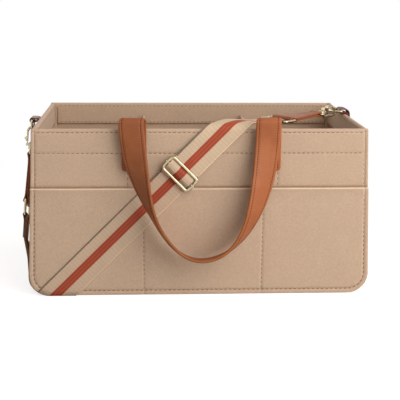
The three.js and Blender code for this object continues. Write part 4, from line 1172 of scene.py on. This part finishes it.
def side_band():
    """From under the base round the corner and up the side, curving back to the left chain."""
    chain, mid = chains["left"], WEB_T / 2
    end, w = chain.at(0), chain.across(1)
    flat_run, arc_run = CORNER_X - WEB_OFFSET, CORNER_LAY * QUARTER
    rise = end[2] - LAY_Z
    whole = arc_run - flat_run + rise
    bow = ((end[1] + LAY) / whole - 1) / whole
    rows = []
    for run in np.linspace(-RULING, whole - END_STITCH - WEB_W / 2 * abs(chain.side[2]), 44):
        half = WEB_W / 2 * math.hypot(1, 1 + 2 * bow * run)
        y = -LAY + run + bow * run * run
        bend = run + flat_run
        if bend < 0:
            x, z, n = -WEB_OFFSET - run, mid, np.array([0, 0, -1.0])
        elif bend < arc_run:
            a = bend / CORNER_LAY
            n = np.array([-math.sin(a), 0, -math.cos(a)])
            x, z = -CORNER_X + n[0] * (CORNER_LAY + mid), LAY_Z + n[2] * (CORNER_LAY + mid)
        else:
            k, x0 = (bend - arc_run) / rise, -(CORNER_X + CORNER_LAY + mid)
            x, z, n = x0 + (end[0] - x0) * k, LAY_Z + rise * k, unit([-rise, 0, end[0] - x0])
        rows.append([(np.array([x, max(y + s * half, -(LAY + mid)), z]), n, 0.5 - s / 2,
                      -(run * math.sqrt(2) + s * half * 0.7) / WEB_W) for s in ACROSS])
    v_end = rows[-1][len(ACROSS) // 2][3]
    for along, run in ((-24.4, 8), (-12.0, 19)):
        rows.append([(chain.at(along) + w * s * WEB_W / 2, chain.out, 0.5 - s / 2, v_end - run / WEB_W)
                     for s in ACROSS])
    return rows


def end_loop(chain):
    """The webbing's end goes round the ring's bar and is sewn back on itself."""
    layer, taper, inset = 0.68, 9, 0.2
    r = RING_WIRE / 2 + GAP + WEB_T / 2
    path = []
    for s in np.linspace(1 - END_STITCH, 0, 14)[:-1]:
        path.append((NEAR_BAR + s, layer + (r - layer) * share((s + taper) / taper) ** 2, 0, 1))
    upper = list(path)
    path += bar_arc(NEAR_BAR, r, QUARTER, -QUARTER)
    path += [(s, -h, nl, -nn) for s, h, nl, nn in reversed(upper)]
    w = chain.across(1)
    rows, run, last = [], 0, path[0]
    for s, h, nl, nn in path:
        run += math.hypot(s - last[0], h - last[1])
        last = (s, h)
        n = chain.ahead * nl + chain.out * nn
        rows.append([(chain.at(s, 0, h) + w * k * (WEB_W / 2 - inset), n, 0.5 - k / 2, run / WEB_W)
                     for k in ACROSS])
    return rows


put(band("front_webbing", front_band()), "caddy", "webbing", "shoulder_webbing")
put(band("side_webbing", side_band()), "caddy", "webbing")
for label, chain in chains.items():
    put(band(f"{label}_webbing_end", end_loop(chain)), "caddy", "webbing")

# Slider and the two layers that it holds; the slider's frame rises from the lower layer
LAYER = WEB_T + GAP
SLIDER_X, SLIDER_HALF, SLIDER_BAR = -24, 10, 2.2
SLIDER_Z = SLIDER_X + WEB_OFFSET
HUMP_HALF, HUMP_RISE = 12, 7.5
HUMP_LOW = 2 * LAYER + GAP
BAR_LEVEL = HUMP_LOW + WEB_T + GAP + SLIDER_BAR / 2
FRONT_LEAN = (LAY - PANEL - GAP) / (ROLL_Z - POCKET_TOP)
ALONG = unit([1, FRONT_LEAN, 1])
OUTWARD = unit([0, -1, FRONT_LEAN])
SLIDER_BASE = np.array([SLIDER_X, -LAY + FRONT_LEAN * (SLIDER_Z - POCKET_TOP), SLIDER_Z])


def on_slider(a, b=0.0, c=0.0):
    return SLIDER_BASE + ALONG * a + np.cross(OUTWARD, ALONG) * b + OUTWARD * c


def slider_frame():
    """A flattened wire frame whose middle bar shows past it; its sides are painted a darker gold as shade.
    """
    reach, side = WEB_W / 2 + 3 * GAP + SLIDER_BAR / 2, SLIDER_HALF - SLIDER_BAR / 2
    bar_reach = reach + 2.8
    loop = rounded_loop(lambda a, b: on_slider(a, b, BAR_LEVEL), -side, side, reach, 3.4)
    bar = tube(on_slider(0, -bar_reach, BAR_LEVEL), on_slider(0, bar_reach, BAR_LEVEL), SLIDER_BAR / 2, 14)
    made = merged("slider_frame", [wire(loop, OUTWARD, 1.8, 18, 0.75), bar], GOLD_MAT)
    made.data.materials.append(GOLD_SHADE_MAT)
    # Painted shade: faces turned sideways from the strap get the darker gold
    for face in made.data.polygons:
        face.material_index = int(abs(face.normal.dot(Vector(OUTWARD))) < 0.5)
    return made


def hump_level(a):
    low, over = HUMP_LOW + WEB_T / 2, BAR_LEVEL + SLIDER_BAR / 2 + GAP + WEB_T / 2
    near = share((HUMP_RISE - abs(a)) / HUMP_RISE)
    return low + (over - low) * math.sin(min(near * 1.35, 1) * QUARTER) ** 2


def hump_band():
    rows = []
    near = 0.3
    for a in np.linspace(-HUMP_HALF, HUMP_HALF, 33):
        slope = (hump_level(a + near) - hump_level(a - near)) / (2 * near)
        n, level = unit(OUTWARD - ALONG * slope), hump_level(a)
        rows.append([(on_slider(a, s * WEB_W / 2, level), n, 0.5 - s / 2, a / WEB_W) for s in ACROSS])
    return rows


def return_band():
    """The second layer, from under the hump over the rim to the right ring."""
    mid = LAYER + WEB_T / 2
    starts = [SLIDER_Z - HUMP_HALF / math.sqrt(2) - s * WEB_W / 2 / math.sqrt(2) for s in ACROSS]
    rows = [front_row([z + (ROLL_Z - z) * k for z in starts], mid) for k in np.linspace(0, 1, 12)]
    arc = rim_arc(mid) * QUARTER
    rows += [front_row([ROLL_Z + arc * k] * len(ACROSS), mid) for k in np.linspace(0, 1, 7)[1:]]
    return rows + over_the_rim(rows[-1], mid, NEAR_BAR - END_STITCH - GAP)


put(slider_frame(), "slider", "gold", "strap_slider")
put(band("slider_webbing", hump_band()), "slider", "webbing", "slider_webbing_hump")
upper_layer = band("return_webbing", return_band())
start, end = ((on_slider(a) + (SHIFT, 0, 0)) / 1000 for a in (-HUMP_HALF, 66.5))
tuple(start)
tuple(end)
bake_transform(upper_layer)
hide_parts("webbing_return")

# Floor, light and camera, in metres
FLOOR_SIZE, FLOOR_DIFFUSE, FLOOR_GLOW = 14, 0.5, 0.72
SHADOW_NEAR, SHADOW_FAR = 0.3, 0.75
WHITE = grey(1.0)


def seen_directly(tree):
    """1 for rays from the camera and for rays that gloss or glass sends on, otherwise 0."""
    path = tree.add("LightPath")
    seen = path["Is Camera Ray"]
    for label in ("Is Glossy Ray", "Is Transmission Ray"):
        seen = tree.maths("MAXIMUM", seen, path[label])
    return seen


def white_floor():
    """White wherever it is seen, with the object's soft shadow near the middle."""
    tree = Tree(bpy.data.materials.new("floor_white"))
    tree.nodes.remove(tree.nodes["Principled BSDF"])
    diffuse = tree.add("BsdfDiffuse", Color=grey(FLOOR_DIFFUSE))[0]
    near = tree.add("AddShader", diffuse, tree.add("Emission", Color=WHITE, Strength=FLOOR_GLOW)[0])[0]
    distance = tree.add("VectorMath", tree.add("TexCoord")["Object"], operation="LENGTH")["Value"]
    away = tree.add("MapRange", interpolation_type="SMOOTHSTEP", From_Min=SHADOW_NEAR, From_Max=SHADOW_FAR,
                    Value=distance)[0]
    shown = tree.add("MixShader", away, near, tree.add("Emission", Color=WHITE, Strength=1.0)[0])[0]
    unseen = tree.add("BsdfDiffuse", Color=grey(FLOOR_DIFFUSE))[0]
    final = tree.add("MixShader", seen_directly(tree), unseen, shown)[0]
    tree.links.new(final, tree.nodes["Material Output"].inputs["Surface"])
    return tree.owner


def studio(world):
    """Soft warm light from all round, stronger from above and from the right, behind a white backdrop."""
    tree = Tree(world)
    towards = tree.add("VectorMath", tree.add("TexCoord")["Generated"], (0.3, -0.08, 0.22),
                       operation="DOT_PRODUCT")["Value"]
    warm = tree.mix(tree.maths("ADD", towards, 0.355), (1, 0.93, 0.9, 1), 1.0, "MULTIPLY")
    tree.feed(tree.nodes["Background"].inputs["Color"], tree.mix(warm, WHITE, seen_directly(tree)))
    return world


def lamp(name, location, target, size, watts):
    data = bpy.data.lights.new(name, "AREA")
    data.shape, data.size, data.energy = "DISK", size, watts
    ob = bpy.data.objects.new(name, data)
    ob.location = location
    ob.rotation_euler = (Vector(target) - Vector(location)).to_track_quat("-Z", "Y").to_euler()
    bpy.context.collection.objects.link(ob)


bpy.ops.mesh.primitive_plane_add(size=FLOOR_SIZE, location=(0, 0, 0))
floor = bpy.context.object
floor.name = "floor"
floor.data.materials.append(white_floor())

scene = bpy.context.scene
scene.world = studio(bpy.data.worlds.new("studio"))
lamp("key", (0.8, -0.9, 0.65), (0.05, 0, 0.08), size=1.5, watts=14.6)
lamp("fill", (-1.2, -1.5, 0.9), (0, 0, 0.1), size=1.2, watts=1.2)
lamp("back", (-0.9, 1.3, 0.7), (0, 0, 0.1), size=1.6, watts=9)

# The camera's angles, place and focal length are those fitted to the photograph
YAW, PITCH, ROLL = math.radians(3.2), math.radians(13.34), math.radians(0.47)
FOCAL_PIXELS, PHOTO_PIXELS, SENSOR = 939.2, 400, 36
CAMERA_AT = ((-59.0 + SHIFT) / 1000, -1.1568, 0.3596)


def camera():
    forward = Vector((math.sin(YAW) * math.cos(PITCH), math.cos(YAW) * math.cos(PITCH), -math.sin(PITCH)))
    level_right = Vector((math.cos(YAW), -math.sin(YAW), 0))
    level_up = level_right.cross(forward)
    right = level_right * math.cos(ROLL) + level_up * math.sin(ROLL)
    up = level_up * math.cos(ROLL) - level_right * math.sin(ROLL)
    data = bpy.data.cameras.new("camera")
    data.sensor_width, data.lens = SENSOR, FOCAL_PIXELS * SENSOR / PHOTO_PIXELS
    ob = bpy.data.objects.new("camera", data)
    bpy.context.collection.objects.link(ob)
    rows = [(right[k], up[k], -forward[k], CAMERA_AT[k]) for k in range(3)]
    ob.matrix_world = Matrix((*rows, (0, 0, 0, 1)))
    return ob


scene.camera = camera()
scene.view_settings.view_transform = "Standard"
